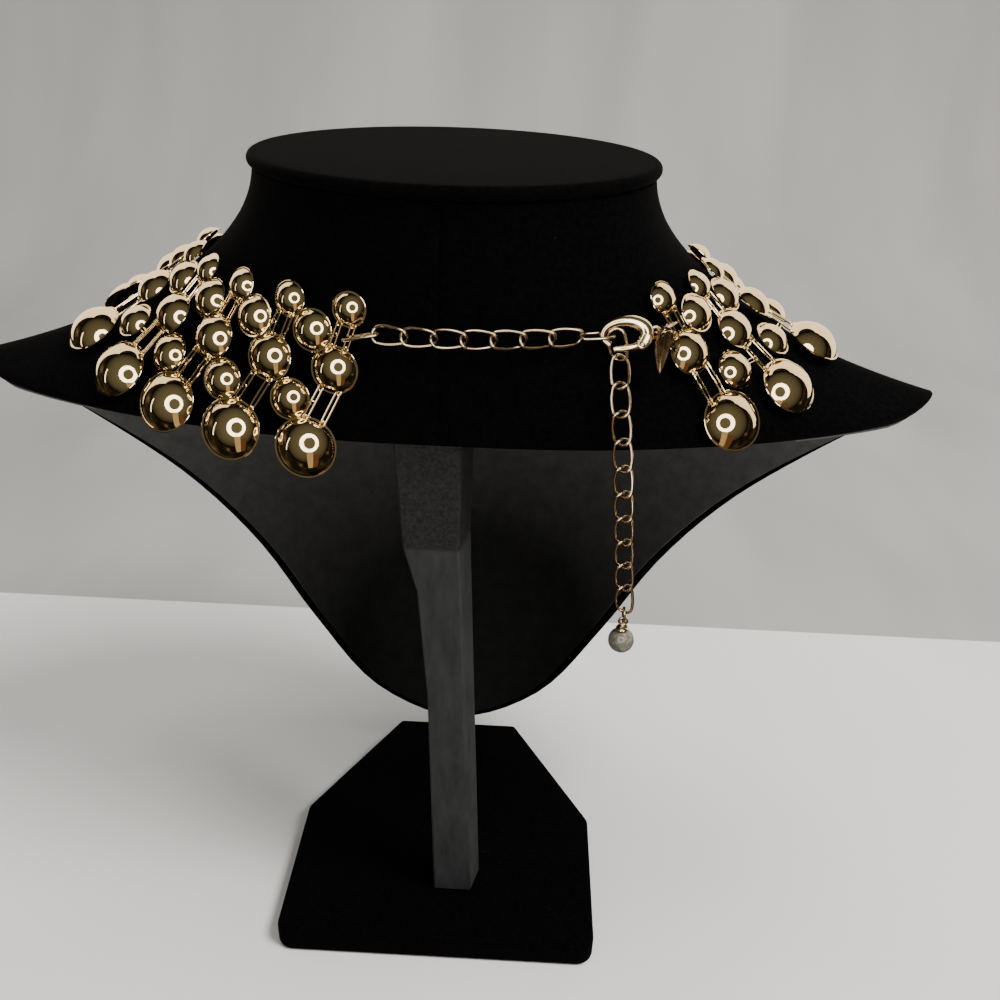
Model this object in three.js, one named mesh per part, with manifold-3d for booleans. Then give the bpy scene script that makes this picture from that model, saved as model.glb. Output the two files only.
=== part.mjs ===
// Collar choker necklace of domed gold discs, fastened round a plain velvet neck bust that
// stands on a flat post and a base. Millimetres, +Z up. The origin is the middle of the
// base's underside. The bust faces +Y, so the clasp and its chain are at the back, on -Y.
import * as THREE from 'three';
import { mergeVertices } from 'three/addons/utils/BufferGeometryUtils.js';
import Module from 'manifold-3d';

const wasm = await Module();
wasm.setup();

// ---- Driving dimensions ---------------------------------------------------------------

const GAP = 0.35;                 // clearance kept between neighbouring solids

// Neck bust: an oval neck that flares into shoulders and falls to a point in front.
const NECK = { halfX: 48.6, halfY: 42.6, topZ: 223 };
const NECK_DROP = 22;             // length of the straight stretch under the neck's top
const NECK_FLARE = 2;             // how far that stretch leans out
const SHOULDER_REACH = 0.5;       // where the shoulder curve levels out, from neck to hem
const SHOULDER_RISE = 0.2;        // how high it still is there
const BIB = { bulgeY: 48, riseZ: 70 };
const BUST_WALL = 2.6;
const LINING_WALL = 0.9;
const LINING_GAP = 1.0;
const BUST_STATIONS = [0, 0.15, 0.3, 0.45, 0.6, 0.74, 0.87, 1];
const LINING_STATIONS = [0.45, 0.6, 0.74, 0.87, 0.98];
const ANGLE_STEP = 9;
const LINING_ANGLES = { from: -36, to: 216 };
const CAP = { overhang: 1.2, thickness: 3.2, bevel: 0.8, sides: 10 };

// Half of the bust's lower edge, from the back over the shoulder tip to the front point.
const HEM = [
  { angle: -90, x: 0, y: -46, z: 170 },
  { angle: -60, x: 40, y: -44, z: 170 },
  { angle: -40, x: 80, y: -34, z: 170 },
  { angle: -20, x: 115, y: -16, z: 170 },
  { angle: 0, x: 128, y: 4, z: 169 },
  { angle: 20, x: 105, y: 14, z: 146 },
  { angle: 35, x: 84, y: 23, z: 122 },
  { angle: 48, x: 66, y: 29, z: 95 },
  { angle: 60, x: 50, y: 33, z: 63 },
  { angle: 75, x: 30, y: 36, z: 32 },
  { angle: 90, x: 0, y: 37, z: 18 },
];

// Post: a flat board, wide where it meets the bust and slim below.
const POST = [
  { z: 8.35, halfWidth: 5.8, x: 4.0, back: -34.5, front: -26 },
  { z: 88, halfWidth: 5.1, x: 1.6, back: -36.5, front: -28 },
  { z: 124, halfWidth: 5.5, x: 0.4, back: -38, front: -29 },
  { z: 139, halfWidth: 6.7, x: -0.2, back: -40.8, front: -30 },
  { z: 198, halfWidth: 8.6, x: -2.2, back: -40.2, front: -31 },
];

const BASE = { halfWidth: 48.5, backY: -53, frontY: 44, height: 8, cornerRadius: 5 };
const BASE_CHAMFER = { fromY: -2, frontHalfWidth: 22 };

// Collar: five rows of discs. Odd rows hang in one column, even rows fill the gaps.
const ROWS = [
  { row: 1, radius: 4.0, drop: 0 },
  { row: 2, radius: 4.85, drop: 5.8 },
  { row: 3, radius: 5.5, drop: 13.8 },
  { row: 4, radius: 4.85, drop: 22.2 },
  { row: 5, radius: 7.25, drop: 32.9 },
];
const COLLAR = { topZ: 200, fromAngle: -110, toAngle: -396, columnPitch: 15.1 };
const DOME = { rise: 0.6, shoulder: 0.72, shoulderRise: 0.62, sides: 8 };
const STEEPNESS = 0.4;            // share of the steepest way down in a column's fall
const DISC_LIFT = 2.0;            // from the bust to the discs' rims
const END_SLANT = 5;              // degrees by which the first column leans to its row 5
const SLANT_FADE = 0.8;           // how much less each next half column leans
const COLUMN_LINKS = [
  { above: 1, below: 3, side: 1.6 },
  { above: 3, below: 5, side: 2.1 },
];
const LINK_BAR = { width: 1.0, thickness: 0.9, bite: 1.3 };
const EAR = { width: 1.0, thickness: 0.8, height: 1.0, inside: 0.45 };

// Extension chain: twisted oval links of round wire.
const WIRE = 0.75;
const LINK = { length: 8.6, width: 4.8, twist: 40 };
const LINK_PITCH = 6.4;
const LINK_MESH = { steps: 12, sides: 4 };
const LINK_STRAIGHT = 2;          // how soon a link's round ends turn into its straight sides
const END_LINK = { length: 9.0, width: 3.2, behindBar: 0.6 };
const CHAIN_LINKS = 7;
const CHAIN_Z = 195.6;
const CHAIN_LIFT = 2.4;
const CHAIN_START = -106;         // angle round the neck where the chain meets its height

// Lobster clasp, seen from behind: u runs from the hook's tip to the tail, v runs up.
const CLASP = { halfLength: 6.1, halfHeight: 4.0, thickness: 2.2, lift: 4.8, pastChain: 9.1 };
const BORE = { u: -0.9, halfLength: 4.0, halfHeight: 2.2 };
const TAIL_EYE = { u: 6.4, outer: 1.5, inner: 0.8, thickness: 0.6 };
const LEVER = { pivotU: 3.3, pivotV: -2.5, pin: 0.35, hole: 0.66, knuckle: 1.15, thickness: 0.8 };
const LEVER_BAR = { tipU: -3.0, tipV: -3.15, halfHeight: 0.6 };
const LEVER_SLOT = { halfThickness: 0.7, clear: 0.35 };
const LEVER_OPEN = [0, 7, 14];    // degrees that the lever's slot leaves room for
const HOOK_WIRE = { u: -2.95, v: -0.04, roll: 107.8 };
const HANGING_LINK = { top: [-2.42, 0.41, -0.64], bottom: [-1.02, -4.95, -3.0], twist: 23.3 };

// The chain's free end, from the hanging link over the bust's back edge.
const DROP_ROUTE = [
  { x: 40.6, y: -45.3, z: 181.5 },
  { x: 41.6, y: -47.1, z: 173.5 },
  { x: 42.4, y: -48.0, z: 166.5 },
  { x: 47.4, y: -48.3, z: 117.5 },
];
const DROP_LINKS = 10;
const DROP_SLACK = 0.25;
const DROP_RING = { length: 4.4, width: 3.4, wire: 0.65 };
const BEAD = { radius: 3.25, capRadius: 1.6, capHeight: 1.1, sink: 0.35 };
const BEAD_EYE = { outer: 1.3, inner: 0.65, thickness: 0.7 };

// The right end: a ring in the clasp's tail eye, a long link to the collar, and a leaf tag.
const CLASP_RING = { length: 4.2, wire: 0.6 };
const RIGHT_LINK = { width: 3.4, twist: 45, behind: 1.7 };
const TAG = { length: 8.6, above: 1.5, width: 3.0, thickness: 0.5, hole: 0.9, ringAngle: 100, turn: 30 };

// ---- Meshes and solids ----------------------------------------------------------------

const vec = (x, y, z) => new THREE.Vector3(x, y, z);
const radians = THREE.MathUtils.degToRad;

// A geometry with its shared vertices merged and its empty triangles dropped.
function closed(geometry) {
  const bare = geometry.clone();
  bare.deleteAttribute('normal');
  bare.deleteAttribute('uv');
  const merged = mergeVertices(bare, 1e-4);
  const kept = [];
  const index = merged.index.array;
  for (let i = 0; i < index.length; i += 3) {
    const [a, b, c] = [index[i], index[i + 1], index[i + 2]];
    if (a !== b && b !== c && c !== a) kept.push(a, b, c);
  }
  merged.setIndex(kept);
  return merged;
}

function solid(geometry) {
  const merged = closed(geometry);
  return new wasm.Manifold(new wasm.Mesh({
    numProp: 3,
    vertProperties: new Float32Array(merged.attributes.position.array),
    triVerts: new Uint32Array(merged.index.array),
  }));
}

function geometryOf(manifold) {
  const mesh = manifold.getMesh();
  const geometry = new THREE.BufferGeometry();
  geometry.setAttribute('position', new THREE.BufferAttribute(new Float32Array(mesh.vertProperties), 3));
  geometry.setIndex(new THREE.BufferAttribute(new Uint32Array(mesh.triVerts), 1));
  return geometry;
}

const join = (geometries) => geometryOf(geometries.map(solid).reduce((a, b) => a.add(b)));

// A closed mesh from rings of points, each ring the same even length: one side of a wall,
// then the other side backwards. Ends are capped, or the last ring is joined to the first.
function rings(list, looped) {
  const size = list[0].length;
  const position = list.flat().flatMap((p) => [p.x, p.y, p.z]);
  const index = [];
  const count = looped ? list.length : list.length - 1;
  for (let i = 0; i < count; i += 1) {
    for (let j = 0; j < size; j += 1) {
      const a = i * size + j;
      const b = i * size + ((j + 1) % size);
      const c = ((i + 1) % list.length) * size + j;
      const d = ((i + 1) % list.length) * size + ((j + 1) % size);
      if (j < size / 2) index.push(a, b, d, a, d, c);
      else index.push(a, b, c, b, d, c);
    }
  }
  if (!looped) {
    const last = (list.length - 1) * size;
    for (let j = 0; j < size / 2 - 1; j += 1) {
      const [a, b, c, d] = [j, j + 1, size - 2 - j, size - 1 - j];
      index.push(a, c, b, a, d, c);
      index.push(last + a, last + b, last + c, last + a, last + c, last + d);
    }
  }
  const geometry = new THREE.BufferGeometry();
  geometry.setAttribute('position', new THREE.Float32BufferAttribute(position, 3));
  geometry.setIndex(index);
  return outward(geometry);
}

// Turns a closed mesh inside out if its volume is negative.
function outward(geometry) {
  const p = geometry.attributes.position;
  const index = geometry.index.array;
  let volume = 0;
  for (let i = 0; i < index.length; i += 3) {
    const [a, b, c] = [0, 1, 2].map((k) => new THREE.Vector3().fromBufferAttribute(p, index[i + k]));
    volume += a.dot(b.cross(c));
  }
  if (volume < 0) geometry.setIndex(Array.from(index).reverse());
  return geometry;
}

// A placement from an origin and two directions: local X, and local Z made square to it.
function placement(origin, xDirection, zDirection) {
  const x = xDirection.clone().normalize();
  const y = zDirection.clone().cross(x).normalize();
  const z = x.clone().cross(y);
  return new THREE.Matrix4().makeBasis(x, y, z).setPosition(origin);
}

// ---- Neck bust ------------------------------------------------------------------------

const mirroredRow = (row) => ({ angle: row.angle, x: -row.x, y: row.y, z: row.z });

// A smooth curve through the hem table, at an angle from -90 (back) to 90 (front).
function hemHalf(angle) {
  const last = HEM.length - 1;
  let i = 0;
  while (i < last - 1 && HEM[i + 1].angle < angle) i += 1;
  const [b, c] = [HEM[i], HEM[i + 1]];
  const a = i > 0 ? HEM[i - 1] : mirroredRow(HEM[1]);
  const d = i < last - 1 ? HEM[i + 2] : mirroredRow(HEM[last - 1]);
  const t = (angle - b.angle) / (c.angle - b.angle);
  const blend = (k) => 0.5 * (2 * b[k] + (c[k] - a[k]) * t
    + (2 * a[k] - 5 * b[k] + 4 * c[k] - d[k]) * t * t
    + (3 * b[k] - a[k] - 3 * c[k] + d[k]) * t * t * t);
  return vec(blend('x'), blend('y'), blend('z'));
}

// The hem all the way round: 0 is the shoulder tip on +X, 90 the front, -90 the back.
function hem(angle) {
  const turned = THREE.MathUtils.euclideanModulo(angle + 180, 360) - 180;
  if (Math.abs(turned) <= 90) return hemHalf(turned);
  const point = hemHalf(turned > 0 ? 180 - turned : -180 - turned);
  return vec(-point.x, point.y, point.z);
}

// A point of the bust's outside: t runs from 0 at the neck's top to 1 at the hem, and past
// the hem the surface goes straight on.
function bustPoint(angle, t) {
  const [c, s] = [Math.cos(radians(angle)), Math.sin(radians(angle))];
  const top = vec(NECK.halfX * c, NECK.halfY * s, NECK.topZ);
  const edge = hem(angle);
  const front = Math.max(0, s);
  const neck = top.clone().add(vec(NECK_FLARE * c, NECK_FLARE * s, -NECK_DROP));
  const back = vec(
    THREE.MathUtils.lerp(top.x, edge.x, SHOULDER_REACH),
    edge.y * 0.7 + top.y * 0.3,
    THREE.MathUtils.lerp(edge.z, top.z, SHOULDER_RISE),
  );
  const bib = vec(edge.x, edge.y + BIB.bulgeY, edge.z + BIB.riseZ);
  const level = back.lerp(bib, front);
  if (t > 1) return edge.clone().addScaledVector(edge.clone().sub(level), 3 * (t - 1));
  return new THREE.CubicBezierCurve3(top, neck, level, edge).getPoint(t);
}

function bustNormal(angle, t) {
  const around = bustPoint(angle + 0.5, t).sub(bustPoint(angle - 0.5, t));
  const down = bustPoint(angle, t + 0.01).sub(bustPoint(angle, t - 0.01));
  return down.cross(around).normalize();
}

function bustOffset(angle, t, lift) {
  return bustPoint(angle, t).addScaledVector(bustNormal(angle, t), lift);
}

// A wall that follows the bust between two depths under its outside, and between two
// angles. It closes on itself when they are a full turn apart.
function bustWall(heights, angles, outerDepth, innerDepth) {
  const looped = angles.to - angles.from === 360;
  const last = looped ? angles.to - ANGLE_STEP : angles.to;
  const list = [];
  for (let angle = angles.from; angle <= last; angle += ANGLE_STEP) {
    const outside = heights.map((t) => bustOffset(angle, t, -outerDepth));
    const inside = heights.map((t) => bustOffset(angle, t, -innerDepth)).reverse();
    list.push([...outside, ...inside]);
  }
  return rings(list, looped);
}

function neckCap() {
  const shape = new THREE.Shape();
  const [a, b] = [NECK.halfX + CAP.overhang - CAP.bevel, NECK.halfY + CAP.overhang - CAP.bevel];
  shape.absellipse(0, 0, a, b, 0, 2 * Math.PI, false, 0);
  const geometry = new THREE.ExtrudeGeometry(shape, {
    depth: CAP.thickness - 2 * CAP.bevel,
    bevelEnabled: true,
    bevelThickness: CAP.bevel,
    bevelSize: CAP.bevel,
    bevelSegments: 1,
    curveSegments: CAP.sides,
  });
  return closed(geometry.translate(0, 0, NECK.topZ + GAP + CAP.bevel));
}

function post() {
  return rings(POST.map((row) => [
    vec(row.x - row.halfWidth, row.back, row.z),
    vec(row.x + row.halfWidth, row.back, row.z),
    vec(row.x + row.halfWidth, row.front, row.z),
    vec(row.x - row.halfWidth, row.front, row.z),
  ]), false);
}

function basePlate() {
  const { halfWidth: w, backY, frontY, cornerRadius: r } = BASE;
  const shape = new THREE.Shape();
  shape.moveTo(-w, BASE_CHAMFER.fromY);
  shape.lineTo(-w, backY + r);
  shape.absarc(-w + r, backY + r, r, Math.PI, 1.5 * Math.PI, false);
  shape.lineTo(w - r, backY);
  shape.absarc(w - r, backY + r, r, 1.5 * Math.PI, 2 * Math.PI, false);
  shape.lineTo(w, BASE_CHAMFER.fromY);
  shape.lineTo(BASE_CHAMFER.frontHalfWidth, frontY);
  shape.lineTo(-BASE_CHAMFER.frontHalfWidth, frontY);
  shape.closePath();
  return closed(new THREE.ExtrudeGeometry(shape, {
    depth: BASE.height, bevelEnabled: false, curveSegments: 4,
  }));
}

// ---- Collar ---------------------------------------------------------------------------

// The t of the bust's outside at a height, and t moved down the outside by a distance.
function bustAtHeight(angle, z) {
  let [low, high] = [0, 1];
  for (let i = 0; i < 30; i += 1) {
    const middle = (low + high) / 2;
    if (bustPoint(angle, middle).z > z) low = middle;
    else high = middle;
  }
  return low;
}

// The way a column hangs at a place on the bust: between the steepest way down and the line
// that spreads out from the neck.
function fallLine(angle, t) {
  const normal = bustNormal(angle, t);
  const steepest = vec(0, 0, -1).addScaledVector(normal, normal.z).normalize();
  const spread = bustPoint(angle, t + 0.01).sub(bustPoint(angle, t - 0.01)).normalize();
  return spread.lerp(steepest, STEEPNESS).normalize();
}

// The place a distance below another, along the fall line.
function bustBelow(angle, t, distance) {
  const steps = Math.ceil(distance / 0.5);
  const place = { angle, t };
  for (let i = 0; i < steps; i += 1) {
    const fall = fallLine(place.angle, place.t).multiplyScalar(distance / steps);
    const around = bustPoint(place.angle + 0.5, place.t).sub(bustPoint(place.angle - 0.5, place.t));
    const down = bustPoint(place.angle, place.t + 0.005).sub(bustPoint(place.angle, place.t - 0.005));
    const [aa, ad, dd] = [around.dot(around), around.dot(down), down.dot(down)];
    const [fa, fd] = [fall.dot(around), fall.dot(down)];
    const determinant = aa * dd - ad * ad;
    place.angle += (fa * dd - fd * ad) / determinant;
    place.t += (0.01 * (fd * aa - fa * ad)) / determinant;
  }
  return place;
}

// The placement of something on the bust: local Z stands off it, local Y runs downhill and
// local X points to the next column.
function onBust(place, lift) {
  const normal = bustNormal(place.angle, place.t);
  const origin = bustPoint(place.angle, place.t).addScaledVector(normal, lift);
  return placement(origin, fallLine(place.angle, place.t).cross(normal), normal);
}

// A dome with its rim at z 0.
function dome(radius) {
  const rise = DOME.rise * radius;
  const outline = [
    new THREE.Vector2(0, 0),
    new THREE.Vector2(radius, 0),
    new THREE.Vector2(DOME.shoulder * radius, DOME.shoulderRise * rise),
    new THREE.Vector2(0, rise),
  ];
  return closed(new THREE.LatheGeometry(outline, DOME.sides).rotateX(Math.PI / 2));
}

// A flat bar from one point to another, its thickness along the facing direction.
function bar(from, to, facing, width, thickness) {
  const along = to.clone().sub(from);
  const geometry = new THREE.BoxGeometry(along.length(), width, thickness);
  return geometry.applyMatrix4(placement(from.clone().lerp(to, 0.5), along, facing));
}

// Angles at which the columns' top discs sit, a column pitch apart round the neck.
function columnAngles() {
  const places = [0];
  const angles = [COLLAR.fromAngle];
  const ringPoint = (angle) => bustOffset(angle, bustAtHeight(angle, COLLAR.topZ), DISC_LIFT);
  for (let angle = COLLAR.fromAngle - 1; angle >= COLLAR.toAngle; angle -= 1) {
    places.push(places[places.length - 1] + ringPoint(angle + 1).distanceTo(ringPoint(angle)));
    angles.push(angle);
  }
  const total = places[places.length - 1];
  const gaps = Math.round(total / COLLAR.columnPitch);
  const angleAt = (place) => {
    const i = Math.min(places.findIndex((p) => p >= place - 1e-9), places.length - 1);
    if (i <= 0) return angles[0];
    const t = (place - places[i - 1]) / (places[i] - places[i - 1]);
    return THREE.MathUtils.lerp(angles[i - 1], angles[i], t);
  };
  return Array.from({ length: 2 * gaps + 1 }, (_, k) => angleAt((total * k) / (2 * gaps)));
}

const HALF_COLUMNS = columnAngles();
const COLUMN_COUNT = (HALF_COLUMNS.length + 1) / 2;

// The placement of a disc: half columns count from the left end of the collar.
function discPlace(halfColumn, row) {
  const slant = Math.max(0, END_SLANT - SLANT_FADE * halfColumn);
  const angle = HALF_COLUMNS[halfColumn] - (slant * row.drop) / ROWS[4].drop;
  const start = bustAtHeight(angle, COLLAR.topZ);
  return onBust(bustBelow(angle, start, row.drop), DISC_LIFT);
}

const rowNumber = (number) => ROWS[number - 1];

// The two ends of a column's link, on one side of it: sign 1 is towards the next column.
function columnLink(halfColumn, link, sign) {
  const upper = discPlace(halfColumn, rowNumber(link.above));
  const lower = discPlace(halfColumn, rowNumber(link.below));
  const inUpper = rowNumber(link.above).radius - LINK_BAR.bite;
  const inLower = rowNumber(link.below).radius - LINK_BAR.bite;
  const height = LINK_BAR.thickness * 0.55;
  const reach = (radius) => Math.sqrt(radius * radius - link.side * link.side);
  return {
    from: vec(sign * link.side, reach(inUpper), height).applyMatrix4(upper),
    to: vec(sign * link.side, -reach(inLower), height).applyMatrix4(lower),
    facing: vec(0, 0, 1).transformDirection(upper),
  };
}

function strand(column) {
  const halfColumn = 2 * column;
  const pieces = [1, 3, 5].map((n) => dome(rowNumber(n).radius)
    .applyMatrix4(discPlace(halfColumn, rowNumber(n))));
  for (const link of COLUMN_LINKS) {
    for (const sign of [-1, 1]) {
      const ends = columnLink(halfColumn, link, sign);
      pieces.push(bar(ends.from, ends.to, ends.facing, LINK_BAR.width, LINK_BAR.thickness));
    }
  }
  if (column === COLUMN_COUNT - 1) return join(pieces);
  for (const link of COLUMN_LINKS) {
    const row = rowNumber(link.above + 1);
    const place = discPlace(halfColumn + 1, row);
    pieces.push(dome(row.radius).applyMatrix4(place));
    const ends = columnLink(halfColumn, link, 1);
    const held = ends.from.clone().lerp(ends.to, 0.5);
    const centre = vec(0, 0, EAR.height).applyMatrix4(place);
    const inside = centre.clone().sub(held).setLength(row.radius * EAR.inside);
    pieces.push(bar(held, centre.sub(inside), ends.facing, EAR.width, EAR.thickness));
  }
  return join(pieces);
}

// ---- Chain ----------------------------------------------------------------------------

// An oval link of round wire, along X about the origin, its two ends twisted apart.
function ovalLink(length, width, wire, twist) {
  const [a, b] = [(length - wire) / 2, (width - wire) / 2];
  const centre = (u) => {
    const turn = radians(twist) * Math.cos(u);
    const straight = THREE.MathUtils.clamp(LINK_STRAIGHT * Math.cos(u), -1, 1);
    const x = b * Math.cos(u) + (a - b) * straight;
    return vec(x, b * Math.sin(u) * Math.cos(turn), b * Math.sin(u) * Math.sin(turn));
  };
  const list = [];
  for (let i = 0; i < LINK_MESH.steps; i += 1) {
    const u = (2 * Math.PI * i) / LINK_MESH.steps;
    const at = centre(u);
    const along = centre(u + 0.05).sub(centre(u - 0.05)).normalize();
    const out = at.clone().addScaledVector(along, -at.dot(along)).normalize();
    const side = along.clone().cross(out);
    list.push(Array.from({ length: LINK_MESH.sides }, (_, j) => {
      const v = (2 * Math.PI * j) / LINK_MESH.sides;
      return at.clone()
        .addScaledVector(out, (wire / 2) * Math.cos(v))
        .addScaledVector(side, (wire / 2) * Math.sin(v));
    }));
  }
  return rings(list, true);
}

function linkBetween(geometry, from, to, facing, roll = 0) {
  const place = placement(from.clone().lerp(to, 0.5), to.clone().sub(from), facing);
  return geometry.applyMatrix4(new THREE.Matrix4().makeRotationX(radians(roll))).applyMatrix4(place);
}

// Points a distance apart along a line of points.
function stations(line, start, pitch, count) {
  const found = [];
  let [walked, next] = [0, start];
  for (let i = 1; i < line.length && found.length < count; i += 1) {
    const length = line[i].distanceTo(line[i - 1]);
    while (walked + length >= next && found.length < count) {
      found.push(line[i - 1].clone().lerp(line[i], (next - walked) / length));
      next += pitch;
    }
    walked += length;
  }
  return found;
}

const twistedLink = () => ovalLink(LINK.length, LINK.width, WIRE, LINK.twist);
const LINK_OVERLAP = LINK.length - LINK_PITCH;

// The middle of the end column's upper link, on its free side.
function collarEnd(halfColumn, sign) {
  const ends = columnLink(halfColumn, COLUMN_LINKS[0], sign);
  return { at: ends.from.clone().lerp(ends.to, 0.5), facing: ends.facing };
}

// The chain's line round the back of the neck, from the collar's left end to the clasp.
function neckLine() {
  const start = collarEnd(0, -1).at;
  const line = [];
  for (let angle = CHAIN_START; angle < -30; angle += 0.5) {
    line.push(bustOffset(angle, bustAtHeight(angle, CHAIN_Z), CHAIN_LIFT).setZ(CHAIN_Z));
  }
  const away = start.clone().sub(line[0]).setLength(END_LINK.behindBar);
  return [start.clone().add(away), ...line];
}

const NECK_LINE = neckLine();
const CHAIN_JOINTS = [NECK_LINE[0],
  ...stations(NECK_LINE, END_LINK.length - LINK_OVERLAP, LINK_PITCH, CHAIN_LINKS + 1)];
const CHAIN_END = CHAIN_JOINTS[CHAIN_LINKS + 1];

// The clasp's placement: X from its hook to its tail, Y up, Z away from the neck.
function claspPlace() {
  const reached = NECK_LINE.findIndex((p) => p.x > 0 && p.distanceTo(CHAIN_END) > CLASP.pastChain
    && p.x > CHAIN_END.x);
  const angle = CHAIN_START + (reached - 1) * 0.5;
  const t = bustAtHeight(angle, CHAIN_Z - 1);
  const middle = bustOffset(angle, t, CLASP.lift);
  return placement(middle, middle.clone().sub(CHAIN_END), bustNormal(angle, t));
}

const CLASP_PLACE = claspPlace();
const inClasp = ([u, v, w]) => vec(u, v, w).applyMatrix4(CLASP_PLACE);
const CLASP_FACING = vec(0, 0, 1).transformDirection(CLASP_PLACE);

function neckChain() {
  return CHAIN_JOINTS.slice(1).map((to, i) => {
    const from = CHAIN_JOINTS[i];
    const facing = vec(from.x + to.x, from.y + to.y, 0);
    if (i > 0) return linkBetween(twistedLink(), from, to, facing);
    return linkBetween(ovalLink(END_LINK.length, END_LINK.width, WIRE, 0), from, to, facing, 90);
  });
}

function hookedLink() {
  const to = inClasp([HOOK_WIRE.u, HOOK_WIRE.v, 0]);
  const link = ovalLink(LINK.length, LINK.width, WIRE, 0);
  return linkBetween(link, CHAIN_END, to, CLASP_FACING, HOOK_WIRE.roll);
}

function hangingLink() {
  const [from, to] = [inClasp(HANGING_LINK.top), inClasp(HANGING_LINK.bottom)];
  const { twist } = HANGING_LINK;
  return linkBetween(ovalLink(LINK.length, LINK.width, WIRE, twist), from, to, CLASP_FACING, twist);
}

const DROP_LINE = new THREE.CatmullRomCurve3(
  [inClasp(HANGING_LINK.bottom), ...DROP_ROUTE.map((p) => vec(p.x, p.y, p.z))], false, 'centripetal',
).getPoints(200);
const DROP_JOINTS = stations(DROP_LINE, DROP_SLACK, LINK_PITCH, DROP_LINKS + 1);
const DROP_END = DROP_JOINTS[DROP_LINKS];

const dropChain = () => DROP_JOINTS.slice(1)
  .map((to, i) => linkBetween(twistedLink(), DROP_JOINTS[i], to, vec(0, -1, 0)));

// Heights under the chain's last joint: a ring hangs in the last link, an eye in the ring.
const RING_TOP = -LINK_OVERLAP / 2 + WIRE + GAP + DROP_RING.wire;
const RING_BOTTOM = RING_TOP - DROP_RING.length;
const EYE_CENTRE = RING_BOTTOM + 2 * DROP_RING.wire + GAP - BEAD_EYE.outer;
const CAP_BOTTOM = EYE_CENTRE - BEAD_EYE.outer + BEAD.sink - BEAD.capHeight;

const belowDrop = (geometry, z) => geometry.translate(DROP_END.x, DROP_END.y, DROP_END.z + z);

function dropRing() {
  const ring = ovalLink(DROP_RING.length, DROP_RING.width, DROP_RING.wire, 0);
  ring.applyMatrix4(placement(vec(0, 0, 0), vec(0, 0, 1), vec(1, 0, 0)));
  return belowDrop(ring, (RING_TOP + RING_BOTTOM) / 2);
}

function beadCap() {
  const hole = solid(new THREE.CylinderGeometry(BEAD_EYE.inner, BEAD_EYE.inner, 2 * BEAD_EYE.thickness, 8));
  const eye = solid(new THREE.CylinderGeometry(BEAD_EYE.outer, BEAD_EYE.outer, BEAD_EYE.thickness, 8));
  const cone = new THREE.ConeGeometry(BEAD.capRadius, BEAD.capHeight, 8).rotateX(Math.PI / 2);
  const middle = CAP_BOTTOM + BEAD.capHeight / 2 - EYE_CENTRE;
  const cap = eye.add(solid(cone.translate(0, 0, middle))).subtract(hole);
  return belowDrop(geometryOf(cap), EYE_CENTRE);
}

function bead() {
  const ball = closed(new THREE.SphereGeometry(BEAD.radius, 12, 8).rotateX(Math.PI / 2));
  return belowDrop(ball, CAP_BOTTOM - GAP - BEAD.radius);
}

// ---- Clasp ----------------------------------------------------------------------------

// A plate of a flat outline, in the clasp's plane and centred on it.
function plate(shape, thickness) {
  return solid(new THREE.ExtrudeGeometry(shape, { depth: thickness, bevelEnabled: false, curveSegments: 4 })
    .translate(0, 0, -thickness / 2));
}

function round(u, v, radiusU, radiusV = radiusU) {
  const shape = new THREE.Shape();
  shape.absellipse(u, v, radiusU, radiusV, 0, 2 * Math.PI, false, 0);
  return shape;
}

const largest = (manifold) => manifold.decompose().sort((a, b) => b.volume() - a.volume())[0];

// The outline of the lever's bar from the pivot to the hook's tip, turned into the bore.
function leverOutline(clear, turn) {
  const { pivotU: pu, pivotV: pv } = LEVER;
  const { tipU, tipV, halfHeight } = LEVER_BAR;
  const h = halfHeight + clear;
  return new THREE.Shape([
    [pu, pv + h + 0.35], [tipU - clear, tipV + h], [tipU - clear, tipV - h], [pu, pv - h - 0.45],
  ].map(([u, v]) => new THREE.Vector2(u, v).rotateAround(new THREE.Vector2(pu, pv), -radians(turn))));
}

const leverSweep = (thickness) => LEVER_OPEN
  .map((turn) => plate(leverOutline(LEVER_SLOT.clear, turn), thickness))
  .reduce((a, b) => a.add(b));

function clawBody() {
  const depth = CLASP.thickness;
  const { pivotU: pu, pivotV: pv } = LEVER;
  const ring = plate(round(0, 0, CLASP.halfLength, CLASP.halfHeight), depth)
    .subtract(plate(round(BORE.u, 0, BORE.halfLength, BORE.halfHeight), depth + 1))
    .subtract(leverSweep(depth + 1))
    .add(plate(round(pu, pv, LEVER.knuckle, LEVER.knuckle), depth));
  const slot = plate(round(pu, pv, LEVER.knuckle + LEVER_SLOT.clear), 2 * LEVER_SLOT.halfThickness)
    .add(leverSweep(2 * LEVER_SLOT.halfThickness));
  const eye = plate(round(TAIL_EYE.u, 0, TAIL_EYE.outer), depth * TAIL_EYE.thickness);
  const eyeHole = plate(round(TAIL_EYE.u, 0, TAIL_EYE.inner), depth + 1);
  const pin = plate(round(pu, pv, LEVER.pin), depth);
  return largest(ring.subtract(slot)).add(pin).add(eye).subtract(eyeHole);
}

function lever() {
  const { pivotU: pu, pivotV: pv } = LEVER;
  return plate(leverOutline(0, 0), LEVER.thickness)
    .add(plate(round(pu, pv, LEVER.knuckle), LEVER.thickness))
    .subtract(plate(round(pu, pv, LEVER.hole), LEVER.thickness + 1));
}

const claspPiece = (manifold) => geometryOf(manifold).applyMatrix4(CLASP_PLACE);

// The ring in the tail eye lies level, so its wire runs up and down through the eye.
const RING_CENTRE = TAIL_EYE.u + (CLASP_RING.length - CLASP_RING.wire) / 2;

function claspRing() {
  const { length, wire } = CLASP_RING;
  const ring = ovalLink(length, length, wire, 0).rotateX(Math.PI / 2);
  return ring.translate(RING_CENTRE, 0, 0).applyMatrix4(CLASP_PLACE);
}

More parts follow.
